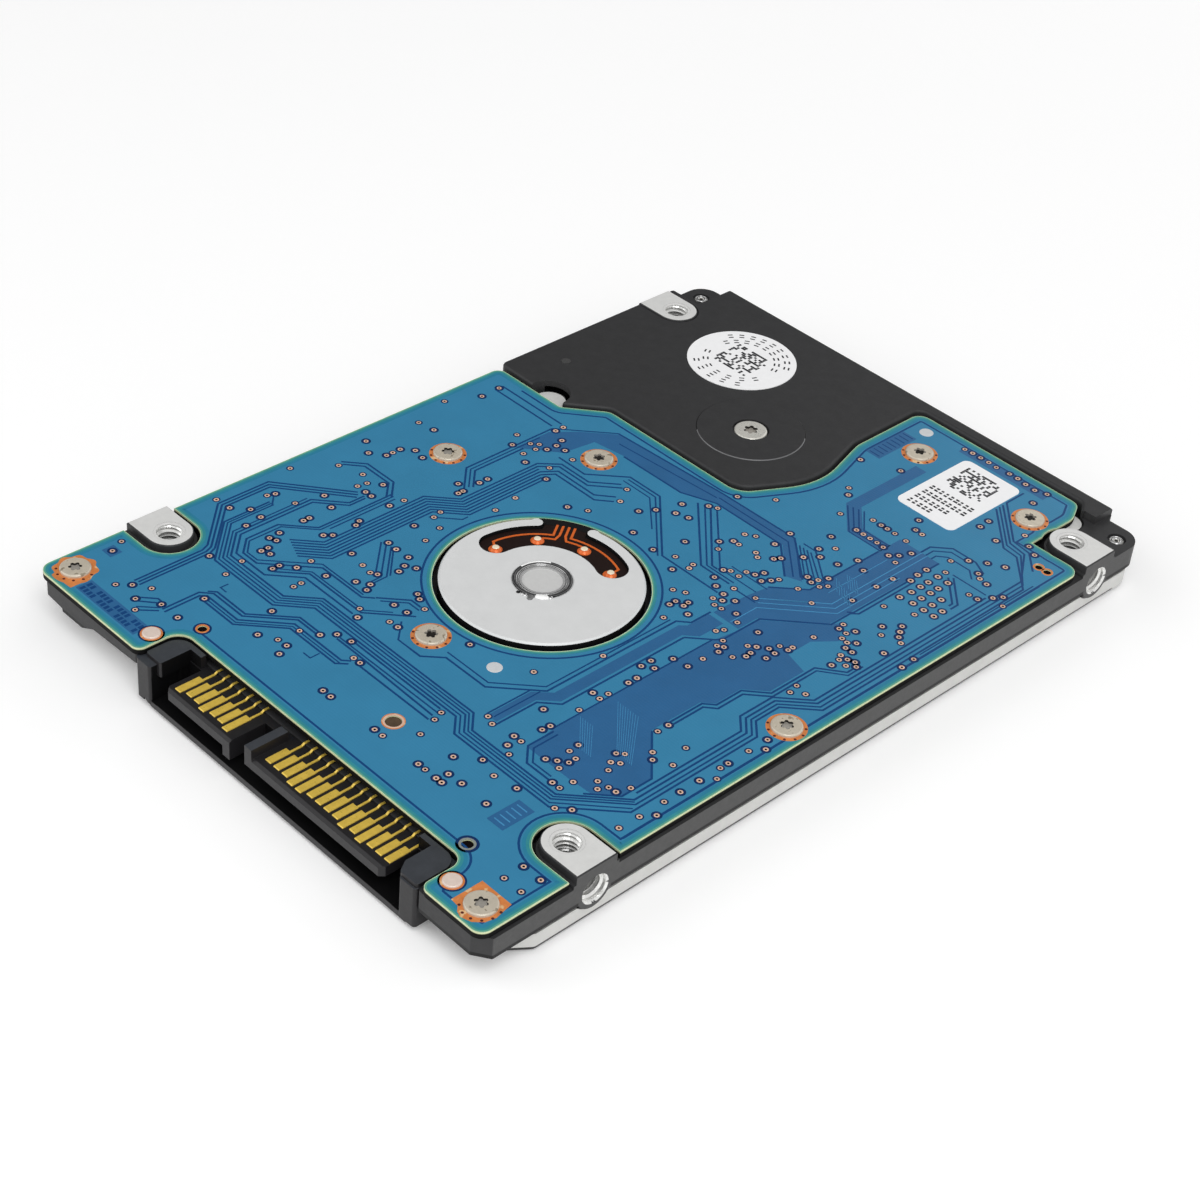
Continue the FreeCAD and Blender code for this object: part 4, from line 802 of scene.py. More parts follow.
areas = Piece("board_trace_areas", "board_bare_areas", slot="board_laminate")
for text in BARE_AREAS:
    areas.prism(points_of(text), SUNK, AREA_TOP)
areas.done()


# Lines are written one to a row: the width, then the points x,y. A row whose width is
# followed by *count is a fan of lines; its points are x,y,step x,step y.
def read_lines(text):
    for row in text.strip().splitlines():
        if row.startswith("#"):
            continue
        size, *stations = row.split()
        width, _, count = size.partition("*")
        for k in range(int(count or 1)):
            points = []
            for station in stations:
                x, y, *step = [float(v) for v in station.split(",")]
                step_x, step_y = step or (0, 0)
                points.append((x + step_x * k, y + step_y * k))
            yield float(width), points


GAP_LINES = """
# outer trio at low x
.15 -24.9,-15.3 -32.4,-21.8 -32.4,-28.6 -27,-34 -26.6,-35 -26.6,-43.6
.15 -24.5,-15.6 -31.95,-22.1 -31.95,-28.4 -26.5,-33.9 -26.15,-34.8 -26.15,-43.4
.15 -24.2,-16 -31.5,-22.3 -31.5,-28.2 -26.1,-33.7 -25.7,-34.6 -25.7,-43.6
# long runs from low x, past the -y side of the window, to the high x edge
.15 -29.3,-24 -29.3,-30.1 -24.4,-35 -14.6,-35 -11.5,-31.95 10.5,-31.95 12.4,-33.8 25.9,-33.8 \
31.35,-28.3 31.35,-10.9 29.6,-9.2 29.6,-5.8 32.7,-2.7 32.7,29.6 28.5,33.8 26.5,34 21.2,39.3
.11 -28.95,-24 -28.95,-29.9 -24.3,-34.55 -14.75,-34.55 -11.65,-31.5 10.7,-31.5 12.6,-33.35 \
25.5,-33.35 31.1,-27.8
.13 -28.6,-24 -28.6,-29.7 -24.2,-34.1 -14.9,-34.1 -11.8,-31.05 10.9,-31.05 12.8,-32.9 \
25.2,-32.9 30.85,-27.2 30.85,-11.1 29.15,-9.4 29.15,-5.6 32.2,-2.5 32.2,30.2 28.6,34.4 \
26.4,34.7 21.2,39.9
.11 -27.35,-20.4 -27.35,-30.4 -24.1,-33.65 -15,-33.65 -12,-30.65 11,-30.65 12.95,-32.5 \
25.1,-32.5 30.55,-27
.15 -23.9,-15.2 -23.9,-17.3 -26.9,-20.2 -26.9,-30.3 -24,-33.2 -15.1,-33.2 -12.2,-30.25 \
11.2,-30.25 13.1,-32.1 25,-32.1 30.3,-26.8 30.3,-11.3 28.65,-9.65 28.65,-5.4 31.65,-2.3 \
31.65,30.6 28.7,34.9 26.4,35.3 21.2,40.5
.15 -23.5,-15.4 -23.5,-17.6 -26.4,-20.4 -26.4,-30.1 -24,-32.5 -19.2,-32.5 -16.2,-29.5 -8.4,-29.5
.15 29.75,-26 29.75,-11.5 28.1,-9.9 28.1,-5.2 31.1,-2.2 31.1,25.2
.15 -22.3,-12.5 -22.3,-22.8 -25.4,-25.9 -25.4,-30.1 -23.6,-31.9 -21.3,-31.9 -16.4,-27 -10,-27 \
-9,-26
.12 -21.9,-12.7 -21.9,-22.9 -24.9,-25.9 -24.9,-30.1 -23.4,-31.5 -21.7,-31.5 -16.9,-26.6 \
-10.2,-26.6
.15 -19,-31.4 -16.4,-28.7 -8,-28.7 -5.7,-26.4 -4,-24.7
.11 -19.3,-30.9 -16.5,-28.3 -8.2,-28.3 -6,-26.1
.12 -21.4,-22 -21.4,-12.9
# loop on the +y side of the vias at low x
.15 -30.6,-13 -28.5,-10.95 -24,-10.95 -21.9,-13
.15 -30.1,-13.2 -28.3,-11.5 -24.2,-11.5 -22.3,-13.4
# the bundle along y, its shift and its -y ends
.14*7 -17,4.2,.47,-.3 -17,-7.2,.47,-.195 -19.9,-10.1,.47,-.195 -19.9,-24,.47,-.195 \
-22.5,-26.6,.47,-.195
.12 -14,-8.8 -14,-9.6 -16.6,-12.2
# rows on its +y side
.15 -17,4.2 -15.2,6.3 -10.8,6.3 -8.2,8.9
.15 -16.5,3.9 -15,5.75 -10.4,5.75 -7.6,8.5
.15 -15.6,3.3 -14.4,5.05 -8.6,5.05 -6.8,6.7
.15 -15.1,3 -14.2,4.4 -7.9,4.4 -6.3,5.9
.15 -16.4,7 -12.2,7 -8.6,10.7 -3.9,10.7 4.2,3 12.5,3
.12 -8.4,10.2 -4.1,10.2 3.9,2.6
.15 -31.4,11.9 -21.2,11.9
.15 -31.4,10.75 -21.6,10.75
.15 -21.2,10.4 -21.2,-2.7 -18.2,-5.7
.15 -20.2,5 -20.2,-2.3 -17.9,-4.6
.11 -20.7,8 -20.7,-2.5 -18.2,-5
.15 -15.8,15.8 0,16.7 10.9,16.85 16.6,11.9
.15 -12,13 -3,13.1 1,14.8 10.7,14.8 15,10.8
.12 -15.8,15.8 -19.1,12.5 -21.2,10.4
.11 .4,15.8 10.9,15.8 15.6,11.5
.10 -14.2,14.4 .2,15.6
# diagonal runs between these rows and x = 12
.15 -.4,13.2 8,5.1 12.2,5.1
.12 .5,13.4 8.4,5.6 12.4,5.6
.15 .9,13.9 8.8,6 9.6,6
.13 1.9,13.9 9.6,6.4
.10 -8.6,9.6 -4.4,9.6 0,5.6
.11*4 10.3,26.3,.65,.2 13.8,22.6,.3,.5 18.3,22.6,0,.5
# diagonals into the cluster of vias
.11*5 11.6,16.3,.55,0 16.2,12,.35,.35
.12 12.2,16.9 14,16.9 18.6,13.2
# main bus at high x, high y
.15 23.9,26 23.9,11.9 23.4,11.4
.15 24.4,21 24.4,12.2 23.8,11.5 23.8,8.5 18.45,3.2 18.45,0 18.45,-2.4
.15 18.3,22.4 18.3,11.2 15.2,8
.10 10.6,6.3 15,6.3
.10 10.2,7.6 15.4,7.6
.12 12.6,4.9 16.2,4.9
# between the bus and the high x edge
.15 27.6,0 27.6,-4.8 25.4,-6.9 25.4,-10.5 24.35,-11.5 24.35,-16
.15 28.05,0 28.05,-5.1 25.9,-7.2 25.9,-10.8 24.8,-11.8 24.8,-16
.15 27.6,0 27.6,1.7 30.2,3.8 30.2,5.4
.12 28.05,0 28.05,1.5 30.6,3.5 30.6,5.8
.14 33.45,31.5 33.45,-31.4
.10 33,31 33,12
.15 26.6,25.2 30,21.8 30,20.6
.15 26.2,24.8 29.5,21.5 29.5,20.9
.12 26.2,25.6 30.8,25.6
.15 21.3,26 21.3,27.6 23.1,29.4 26.3,29.4 28.2,28.4
.12 22,26 22,27.3 23.4,28.7 25.2,28.7
.12 22.8,26 22.8,26.8 23.8,27.7 26.8,27.7 28,26.6
.15 21.2,44.3 21.2,41.2 26.4,35.9 28.9,35.5 31.3,33.1
# high x side of the lower half
.15 -.4,-28.6 1.2,-28.6 3,-26.7 8.9,-26.7 13.25,-22.3 13.25,-4 14.4,-2.9 14.4,0
.11 2.4,-26 8.6,-26 12.7,-21.9 12.7,-4.3
.15 15.7,-5.3 15.7,-22.5 13.9,-24.3 13.9,-29.8
.15 15.7,-5.3 18,-3 18.4,-2.4
.12 12.1,-23.4 12.1,-29.3
.10 12.9,-22.9 12.9,-29.1
.15 18.2,-26 18.2,-29.4 20,-31.2 23.1,-31.2
.12 18.8,-26 18.8,-29.2 20.3,-30.7 22.9,-30.7
.12 17.8,-3.2 17.8,-26
.15 24.2,-18.4 29.2,-23.4 29.2,-27.4 26.6,-30
# rows at the plug end
.15 -4.4,-32.35 8.7,-32.4
.12 -6.2,-33 9,-33
.15 -6.2,-33.35 -3.2,-33.35 9,-33.65
.15 -1.4,-34.35 9.2,-34.35
.15 -8.1,-34.1 -11.2,-34.1 -15.1,-38.1 -19.8,-38.1 -20.5,-38.8
.15 -8.1,-34.5 -11,-34.5 -15,-38.55 -19.8,-38.55 -20.9,-39.6 -20.9,-44.2
.15 -2.5,-34.5 -3.2,-35.2 -10.7,-35.2 -14.8,-39.3 -19.9,-39.3 -20.4,-39.9 -20.4,-44.3
.10 -2.9,-35.6 -10.5,-35.6 -14.6,-39.7 -19.4,-39.7
.15 -2.3,-35 -3.2,-36 -10.4,-36 -14.5,-40.1 -19.4,-40.1
.14 -24,-44.9 -22.6,-43.5 -22,-43.5
.14 -23.5,-45.3 -22.1,-44
.14 -22.3,-46.2 -20.9,-44.6
.12 -22.9,-46 -21.2,-44.2
.10 -20.2,-36.4 -20.2,-37.4 -19.2,-37.4
.10 -5.4,-36.2 -5.4,-37.4 -6.5,-37.4
# small runs at low x and between the window and the plug
.12 -15.7,-18.9 -11.45,-23.2 -11.45,-24.8
.12 -14.9,-18.9 -11.1,-22.7 -11.1,-24.8
.12 -14.2,-19.2 -11,-22.3
.12 -16.2,-19.2 -12.2,-23.3
.15 -9,-25.9 -6.4,-23.3 -4.9,-23.3
.12 -8.3,-25.9 -6.2,-23.8 -4.6,-23.8
.12 -4.3,-26.4 -2.2,-28.6 1.1,-28.6
.12 -30,-22.9 -28.6,-24.2
"""
GAP_SPREAD = 1.55                  # drawn width of a gap line over its listed width
GAP_RISE = 0.00003                 # each line is a hair higher, so that crossings stay clean
POUR_EDGE_WIDTH = 0.24


def without_pour_edge(point):
    x, y = point
    return x < -29.5 or (x < -16.5 and y < -20)


# pour edge along the outline and round the motor window, then the lines
gaps = Piece("board_gap_lines", "board_gap_lines", slot="board_laminate")
pour = clean_inset(outline, 1.22)
start = next(i for i in range(len(pour))
             if without_pour_edge(pour[i - 1]) and not without_pour_edge(pour[i]))
for left_out, group in itertools.groupby(pour[start:] + pour[:start], without_pour_edge):
    run = list(group)
    if not left_out and len(run) > 3:
        gaps.strip(run, POUR_EDGE_WIDTH, SUNK, LINE_TOP - 0.0001)
gaps.strip(window_circle(1.12), POUR_EDGE_WIDTH, SUNK, LINE_TOP - 0.0002, closed=True)
for number, (width, points) in enumerate(read_lines(GAP_LINES), 1):
    gaps.strip(points, width * GAP_SPREAD, SUNK, LINE_TOP + GAP_RISE * number)
gaps.done()

# fine light traces where the bus fans out
LIGHT_TRACES = """
.05*9 18.9,-17.9,.36,0 24.2,-23.2,.30,-.05
.05*6 18.2,-22.4,.35,0 21.7,-25.8,.3,0
.05*5 19,16.4,.34,0 20.8,14.6,.34,0
.12 21.45,26 21.45,11.2 15.9,5.7
.12 22.2,26 22.2,10.9 16.4,5.1
.12 22.95,20.5 22.95,10.4 16.9,4.4 16.9,.4
.08 19.9,9.6 17.4,7.1
.08 19.9,22 19.9,12.4
.05*6 18.7,15,.55,-.2 20.4,13.2,.55,-.2
"""
lights = Piece("board_light_traces", "board_light_traces", slot="board_laminate")
for width, points in read_lines(LIGHT_TRACES):
    lights.strip(points, width, SUNK, PAD_TOP)
lights.done()

# plated holes: a raised copper ring round a dark bore, at x,y
VIAS = points_of("""
-29.4,-26.5 -27.6,-26.5 -33.1,-28.3 -31,-28.1 -27.3,-28.7 -24.1,-26.7 -24,-28.1 -23.2,-27.8
-22.7,-29.3 -22.7,-30.2 -21.7,-29.8 -19.5,-30.3 -19.5,-31.2 -18.1,-27.2 -18.1,-29.1 -15.1,-27.6
-15.7,-30.4 -15.7,-31.4 -22.5,-32.9 -25.3,-35 -21.7,-35.6 -13.8,-35.7 -8.6,-28.4 -7.6,-29.5
-7.7,-34.3 -6.7,-32.9 -4.9,-32.5 -2.7,-34 -1.7,-34 -9.5,-35.5 -9.7,-38.1 -8.4,-38 -7.8,-39.4
-11.6,-39.2 -0.6,-39.6 -19.7,-39.8 -33,-40.7 -32.2,-42.4 -26.1,-44.2 -24.4,-43 -21.6,-43.8
-24,-45.3 -22.5,-46.4 -27.2,-45.5 -18.8,-43.8 -5,-27.4 -3.8,-27.3
12.5,-29.5 13.6,-29.95 16.3,-29.5 17.3,-29.5 17.3,-26.7 16.9,-30.9 18,-31.7 20.7,-29.4
21.6,-28.7 22.5,-28 22.5,-29.3 22.5,-27.1 21.3,-26.8 24.8,-29.6 23.6,-31.2 24.6,-31.2
26.2,-27.7 27.5,-27.5 28.4,-27.4 27,-28.5 32.3,-28.1 33.2,-26.7 32.2,-30.7 27.6,-32.4
26.4,-33.5 9.2,-32.7 9.6,-33.9 10.4,-36.4 14.9,-36.1 17,-34.2 19.4,-34.9 22.1,-34.4 16.5,-38.1
18.3,-38 21.9,-38.1 13.6,-39.4 14.6,-39.4 16.2,-39.4 17,-39.4 7.1,-39.4 8.3,-39.4 0.6,-39.6
30.4,-41.1 32.7,-41.1 30.4,-43.5 32.7,-43.5
-31.4,-1 -29.2,-.6 -18.1,-2.3 -18.1,-3.5 -13.5,-2.3 -13.1,-5.6 -19.4,-5.5 -18,-6 -18,-6.7
-27.3,-5 -28.5,-6.2 -28.5,-7.3 -28.5,-8.2 -25.7,-5.3 -32.1,-8.2 -30.1,-9.5 -16.5,-10.6
-16.2,-11.8 -14.3,-12.6 -16.3,-14.5 -13.5,-15.3 -20.6,-12.3 -24.3,-12.2 -27.2,-12.7
-25.6,-13.4 -30.2,-13.7 -25.8,-14.6 -24.4,-14.6 -23.4,-14.6 -20.8,-14.2 -33,-18.3 -26.6,-18.6
-24.4,-19.4 -20.6,-18.6 -20.2,-19.4 -15.6,-18.7 -14.2,-18.8 -12.3,-18.7 -10.3,-19.3 -11.4,-20
-11,-21.1 -30.1,-22.6 -30.4,-23.5 -27.4,-22 -24.3,-22.5 -24.3,-23.3 -20.3,-22.5 -20.9,-23.3
-16.5,-23 -14.2,-23.4 -12.7,-23.6 -12,-23.2 -11.1,-24.9 -12.4,-25.8 -10.6,-25.8 -6.8,-22.1
-6,-22.5 -4.4,-23.2 -6.9,-25.2 -5.1,-25
9.2,-.4 11.8,-.7 11.9,-1.5 10.8,-1.6 10.8,-2.5 13.2,-2.2 17.4,-1.1 17,-1.9 20.8,-1.1 21.5,-.5
21.8,-1.7 23.4,-1.1 18.6,-2.5 21.9,-2.5 18.8,-3.6 19.4,-3.2 19.6,-4.2 21.1,-3.7 28.4,-1.9
28.7,-3.2 29.9,-2.2 12,-4.6 19.4,-6.3 17.5,-8.7 19.3,-8.4 16.3,-10.7 17.4,-11.3 16.3,-12.1
17.4,-13.8 17.4,-15 12.7,-14 17.4,-17.8 16.3,-18.9 17.4,-19 17.4,-21.8 10.2,-21.3 2.9,-23.4
15.1,-24.5 21.2,-25.5 17.4,-25.7 24.6,-16.5 24.6,-18 28.1,-17.6 26.5,-20.6 27.3,-21.4
29.1,-20.4 25,-22.9 24.4,-23.5 25.7,-24.2 25,-24.8 25.7,-25.8 28.9,-25.9 32.3,-10.4 33.2,-11.6
32.3,-13.1 32.3,-16 32.3,-17.1 33.2,-18.5 32.3,-20 32.3,-22.6 32.3,-24.8
-20.6,11.6 -20.6,10.4 -31.3,11.3 -31.2,8.5 -33,4.3 -22.7,6.3 -21.5,4.5 -20.4,6.3 -19.7,7
-19.2,6 -18.4,7 -18.7,9.6 -18.3,8.4 -17,8.5 -15.1,7.9 -19.4,4.3 -18,3.3 -15.5,4.7 -14.1,2.9
-7.1,8.7 -5.9,6.5 -3.3,6.8 -2.3,8.5 -1.3,11.6 -.5,9.8 -6.8,2.4 -8.7,1.1 -.8,3.5
1.5,17.6 4.6,20.6 10,17.1 10.3,14.3 7,13 8,13.7 13.2,20.3 15,19 18,19.3 13.9,17.5 15,16.5
17.1,17 19.6,18.4 13.9,15 18.2,14.3 17.7,13.2 16.6,12.7 17.5,12.3 19.1,13.2 18.6,12.4
12.5,12.9 12.1,12.2 10.1,11.5 10.8,11 7.1,11.1 7.9,11.1 1,10.3 6.2,9.8 7.1,8.7 .8,13.7
1.7,14.2 17.4,10.3 20,9.6 13.2,9.5 15,9.9 14.6,9.1 12.8,8.5 11.9,8.1 14,8.2 3.9,6.8 10.1,6.4
10.7,6.9 11.9,6.9 15.7,5.5 13.1,4.9 10.4,4.7 5.2,4 7.4,4.5 7.6,3.7 11.6,3.7 13.1,3.3 14.7,3.4
2.8,3 6.6,2.1 13.8,2.4 12.9,1.9 13.8,1.2 14.7,1.3 16.3,1.9 17.4,.9 10.4,.3 19.9,1.4 24.1,5.4
23.9,2.4 23.9,1.7 22.9,1.5 22.5,.3 23.4,.2
28.2,16.8 25.2,15.3 22.6,19.8 22.4,17.3 22.4,13.4 28.7,14.2 29.2,13.3 29.7,12.5 30.5,11.9
27.4,12.5 28.3,11.3 30.5,9.2 33.1,10.9 33.2,8.9 24.6,9.5 26.2,9.6 24.8,8.6 25.8,8.6 26.1,7.6
26.9,7.5 27.6,8.2 27.4,6.7 28.3,6.7 27.9,5.4 28.8,5.4 29.6,5.7 30.2,5.2 28.3,4.7 29.4,4.5
28.4,3.4
14.1,23.5 15.1,23.5 16.1,23.5 17.1,23.5 18.1,23.4 19.5,22.7 20.8,22.3 20.2,23.6 20.8,25
10.9,24.4 25.4,25.3 33.2,25.5 30.7,24.3 29.6,24.2 31.6,25.8
11.2,45.9 12.3,46 13.5,46 14.7,46 15.9,45.9 17.7,46.1 18.9,46.1 20.2,45.9 21.6,45.8 23,46.3
23.1,43.6 9.5,36.4 5.1,34.4 22.2,36.7 22.3,35.1 26.5,37.8 28.1,36.5 29.5,35.7 25.1,34.4
28.9,31.3 17.2,30.5 27.2,30.3 18.2,28.8 19.2,28.7 8.1,29 9,27.9 25.6,29 24.4,27.4 27.8,28
28.5,27.4 29.6,27.2 32.2,26.8 14,26.4 15.2,26.4 16.1,26.4 17.2,26.4 18.9,26.3""")
LARGE_VIAS = points_of("""
23.8,24 25.4,24 26.8,24 23.8,22.5 25.4,22.4 26.8,22.4 24,21.1 25.4,21.1 26.8,21.1 28.3,21.1
25.4,19.6 26.8,19.6 28.3,19.6 29.7,19.6 26.8,18.2 28.3,18.2 29.7,18.2 25.2,17.9""")

rings = Piece("board_via_rings", "board_via_ring", "board_via_hole", slot="contact_gold")
halos = Piece("board_via_halos", "board_via_halo", slot="board_laminate")
# about half of the small vias get a wide halo, and every large one
wide_halos = [place for place in VIAS if dice.random() < 0.55] + LARGE_VIAS


def add_via(x, y, outer, bore):
    low = BOARD_Z - 0.03
    rings.lathe(x, y, [(bore, low), (bore, PAD_TOP), (bore + 0.05, VIA_TOP),
                       (outer - 0.09, VIA_TOP), (outer, PAD_TOP), (outer, low)], 14)
    rings.disc(x, y, bore + .01, low, PAD_TOP, 12, "board_via_hole")


for x, y in VIAS:
    add_via(x, y, 0.29 + dice.uniform(-.02, .02), 0.135)
for x, y in LARGE_VIAS:
    add_via(x, y, 0.34, 0.16)
for x, y in VIAS + LARGE_VIAS:
    halos.annulus(x, y, .45, .28, SUNK, PAD_TOP - .002, 16)
for x, y in wide_halos:
    halos.annulus(x, y, .56, .30, SUNK, PAD_TOP - .001, 16)
halos.done()
rings.done()

# copper round the board screws; the two at the plug end have shapes of their own
CORNER_PAD = [(29.4, -49.0), (29.4, -45.25), (33.35, -45.25), (33.5, -46.2), (33.75, -47.4),
              (33.5, -48.6), (32.7, -49.5), (31.6, -49.85), (30.9, -49.6), (30.4, -49.1)]


def scalloped_pad(x, y):
    """Wavy round pad, plain and wider towards +x, -y."""
    loop = []
    for k in range(48):
        angle = 2 * math.pi * k / 48
        radius = 2.2 + 0.10 + 0.16 * math.cos(8 * angle)
        if math.degrees(angle) > 255:
            radius = 2.2 + 0.35
        loop.append((x + radius * math.cos(angle), y + radius * math.sin(angle)))
    return loop


pads = Piece("board_screw_pads", "board_copper_pad", "board_pad_via", slot="contact_gold")
for i, (x, y) in enumerate(BOARD_SCREWS):
    if i == 0:
        pads.prism(scalloped_pad(x, y), SUNK, PAD_TOP)
        pads.prism([(x + 0.6, y - 0.9), (x + 2.35, y - 0.9), (x + 2.35, y - 2.2),
                    (x + 0.6, y - 2.3)], SUNK, PAD_TOP + .001)
    elif i == 1:
        pads.prism(CORNER_PAD, SUNK, PAD_TOP)
    else:
        pads.disc(x, y, 2.12, SUNK, PAD_TOP, 48)
    via_radius, angles = 1.93, range(-150, 43, 32)
    if i < 2:
        via_radius, angles = 1.98, (-130, -100, -70, -40, -10, 22)
    for angle in angles:
        pads.disc(*polar(x, y, via_radius, angle), 0.155, BOARD_Z, RAISED_TOP, 12,
                  "board_pad_via")
pads.done()

# domed white marks
marks = Piece("board_round_marks", "board_white_dot", slot="label_paper")
for x, y in ((7.2, -23.9), (6.1, 45.0)):
    marks.lathe(x, y, [(0, SUNK), (0, BOARD_Z + .05), (.6, BOARD_Z + .05),
                       (.80, BOARD_Z + .035), (.86, SUNK)], 28)
marks.done()

# rings round the board's holes: x, y, outer and inner radius, top, material
HOLE_RINGS = [
    (7.3, -37.2, 1.20, 1.08, RAISED_TOP, "board_copper_pad"),
    (7.3, -37.2, 1.08, 0.86, RAISED_TOP, "board_via_ring"),
    (-15.8, -42.95, 0.72, 0.50, PAD_TOP, "board_copper_pad"),
    (-15.8, -42.95, 0.95, 0.72, LINE_TOP, "board_via_halo"),
    (24.9, -43.1, 0.84, 0.60, PAD_TOP, "board_tinned_ring"),
    (24.9, -43.1, 1.15, 0.84, LINE_TOP, "board_via_halo"),
    (31.2, 34.3, 0.66, 0.45, PAD_TOP, "board_copper_pad"),
    (32.35, 34.3, 0.66, 0.45, PAD_TOP, "board_copper_pad"),
]
# sunk floors of the holes: x, y, radius, material
HOLE_FLOORS = [
    (31.2, 34.3, .46, "board_via_hole"), (32.35, 34.3, .46, "board_via_hole"),
    (7.3, -37.2, .86, "board_hole_floor"), (-15.8, -42.95, .51, "board_via_hole"),
    (24.9, -43.1, .61, "board_via_hole"),
]
PEG_RINGS = [(x, -47.4, *ring) for x in (-18.3, 27.7)
             for ring in ((1.16, 0.70, PAD_TOP, "board_copper_pad"),
                          (1.36, 1.16, LINE_TOP, "board_via_halo"))]


def add_hole_rings(table):
    for x, y, outer, inner, top, material in table:
        rim.annulus(x, y, outer, inner, SUNK, top, 30, material)


# the edge green slot carries no faces
rim = Piece("board_hole_rings", "board_copper_pad", "board_tinned_ring", "board_via_halo",
            "board_edge_green", "board_via_ring", "board_via_hole", "board_hole_floor",
            slot="contact_gold")
add_hole_rings(HOLE_RINGS)
for x, y, radius, material in HOLE_FLOORS:
    rim.disc(x, y, radius, BOARD_Z - .45, BOARD_Z - .12, 20, material)
add_hole_rings(PEG_RINGS)
rim.done()

# plain dark fields with an even pattern
fields = Piece("board_dark_fields", "board_bare_areas", "board_light_traces",
               "board_gap_lines", slot="board_laminate")
fields.prism(rect(23.4, -39.4, 25.6, -35.3), SUNK, LINE_TOP)
for k in range(5):
    y = -38.8 + .72 * k
    fields.strip([(23.8, y), (25.2, y)], 0.14, SUNK, RAISED_TOP, "board_light_traces")
fields.prism(rect(-33.0, -43.2, -31.4, -41.7), SUNK, LINE_TOP)
fields.prism(rect(-29.3, -48.95, -19.3, -46.95), SUNK, AREA_TOP)
for k in range(16):
    for j in range(2):
        if (3 * k + j) % 5 != 2:
            fields.prism(rect(-29.0 + .6 * k, -48.75 + .85 * j, -28.6 + .6 * k, -48.1 + .85 * j),
                         SUNK, LINE_TOP, "board_gap_lines")
fields.prism(rect(4.2, 36.3, 6.3, 43.0), SUNK, AREA_TOP)
for k in range(9):
    y = 36.7 + .74 * k
    fields.strip([(4.5, y), (6.0, y)], 0.16, SUNK, LINE_TOP, "board_gap_lines")
fields.done()

# ------------------------------------------------------------------ label print, no lettering
INK_BELOW, INK_ABOVE = 0.01, 0.008     # the ink starts below and ends above the paper's top


def chequer(piece, x0, y0, x1, y1, z0, z1, columns=15):
    """Random chequer of dark runs."""
    cell = (x1 - x0) / columns
    for row in range(int(round((y1 - y0) / cell))):
        i = 0
        while i < columns:
            if dice.random() < 0.5:
                end = i
                while end < columns and dice.random() < 0.55:
                    end += 1
                end = max(end, i + 1)
                piece.prism(rect(x0 + i * cell, y0 + row * cell + .02,
                                 x0 + end * cell - .03, y0 + (row + 1) * cell - .02), z0, z1)
                i = end
            i += 1


def print_board_label():
    ink = Piece("board_label_print", "label_dark_ink", slot="label_paper")
    top = top_of("board_label")
    heights = (top - INK_BELOW, top + INK_ABOVE)
    chequer(ink, 14.0, 38.4, 19.2, 43.3, *heights)
    for y, count in ((36.75, 9), (35.45, 9), (34.15, 7), (32.85, 5)):
        x = 13.7
        for _ in range(count):
            width = dice.choice((.42, .5, .5, .58))
            ink.prism(rect(x, y - .38, x + width, y - .09), *heights)
            ink.prism(rect(x + .05, y + .09, x + width * .9, y + .38), *heights)
            x += .70
    ink.done()


# arcs of double dashes on the round label: radius, first and last angle, count
DASH_ARCS = ((4.25, 20, 160, 9), (5.5, 32, 148, 9), (4.4, 205, 335, 7), (5.55, 232, 308, 5))


def print_round_label():
    ink = Piece("round_label_print", "label_dark_ink", slot="label_paper")
    mid_x, mid_y = box_centre("round_label")
    top = top_of("round_label")
    heights = (top - INK_BELOW, top + INK_ABOVE)
    chequer(ink, mid_x - 2.7, mid_y - 2.5, mid_x + 2.7, mid_y + 2.6, *heights)
    for radius, first, last, count in DASH_ARCS:
        for i in range(count):
            angle = math.radians(first + (last - first) * i / (count - 1))
            out_x, out_y = math.cos(angle), math.sin(angle)
            for offset in (-.27, .27):
                x, y = mid_x + (radius + offset) * out_x, mid_y + (radius + offset) * out_y
                ink.prism([(x + .30 * s * -out_y + .10 * r * out_x,
                            y + .30 * s * out_x + .10 * r * out_y)
                           for s, r in rect(-1, -1, 1, 1)], *heights)
    ink.done()


print_board_label()
print_round_label()

# ------------------------------------------------------------------ threads in the tapped holes
THREAD_OUTER, THREAD_INNER, THREAD_PITCH, THREAD_SEGMENTS = 1.50, 1.22, 0.5, 26
threads = Piece("tapped_hole_threads", "casting_tapped_bore", "casting_machined",
                slot="base_paint")


def add_thread(origin, axis, across, up, length):
    """Helical ridge of trapezoid section standing in from the wall of a bore."""
    steps = int(length / THREAD_PITCH * THREAD_SEGMENTS)
    verts, faces = [], []
    for k in range(steps + 1):
        angle = 2 * math.pi * k / THREAD_SEGMENTS
        height = THREAD_PITCH * k / THREAD_SEGMENTS
        outward = across * math.cos(angle) + up * math.sin(angle)
        taper = min(1.0, k / THREAD_SEGMENTS * 1.6, (steps - k) / THREAD_SEGMENTS * 1.6)
        crest = THREAD_OUTER - (THREAD_OUTER - THREAD_INNER) * max(0.05, taper)
        root = THREAD_OUTER + .03
        for radius, shift in ((root, -THREAD_PITCH * .44), (crest, -THREAD_PITCH * .06),
                              (crest, THREAD_PITCH * .06), (root, THREAD_PITCH * .44)):
            verts.append(tuple(origin + axis * (height + shift) + outward * radius))
    for k in range(steps):
        for i in range(4):
            j = (i + 1) % 4
            faces.append((4 * k + i, 4 * k + j, 4 * k + 4 + j, 4 * k + 4 + i))
    last = 4 * steps
    faces += [(0, 1, 2, 3), (last + 3, last + 2, last + 1, last)]
    threads.add(verts, faces)


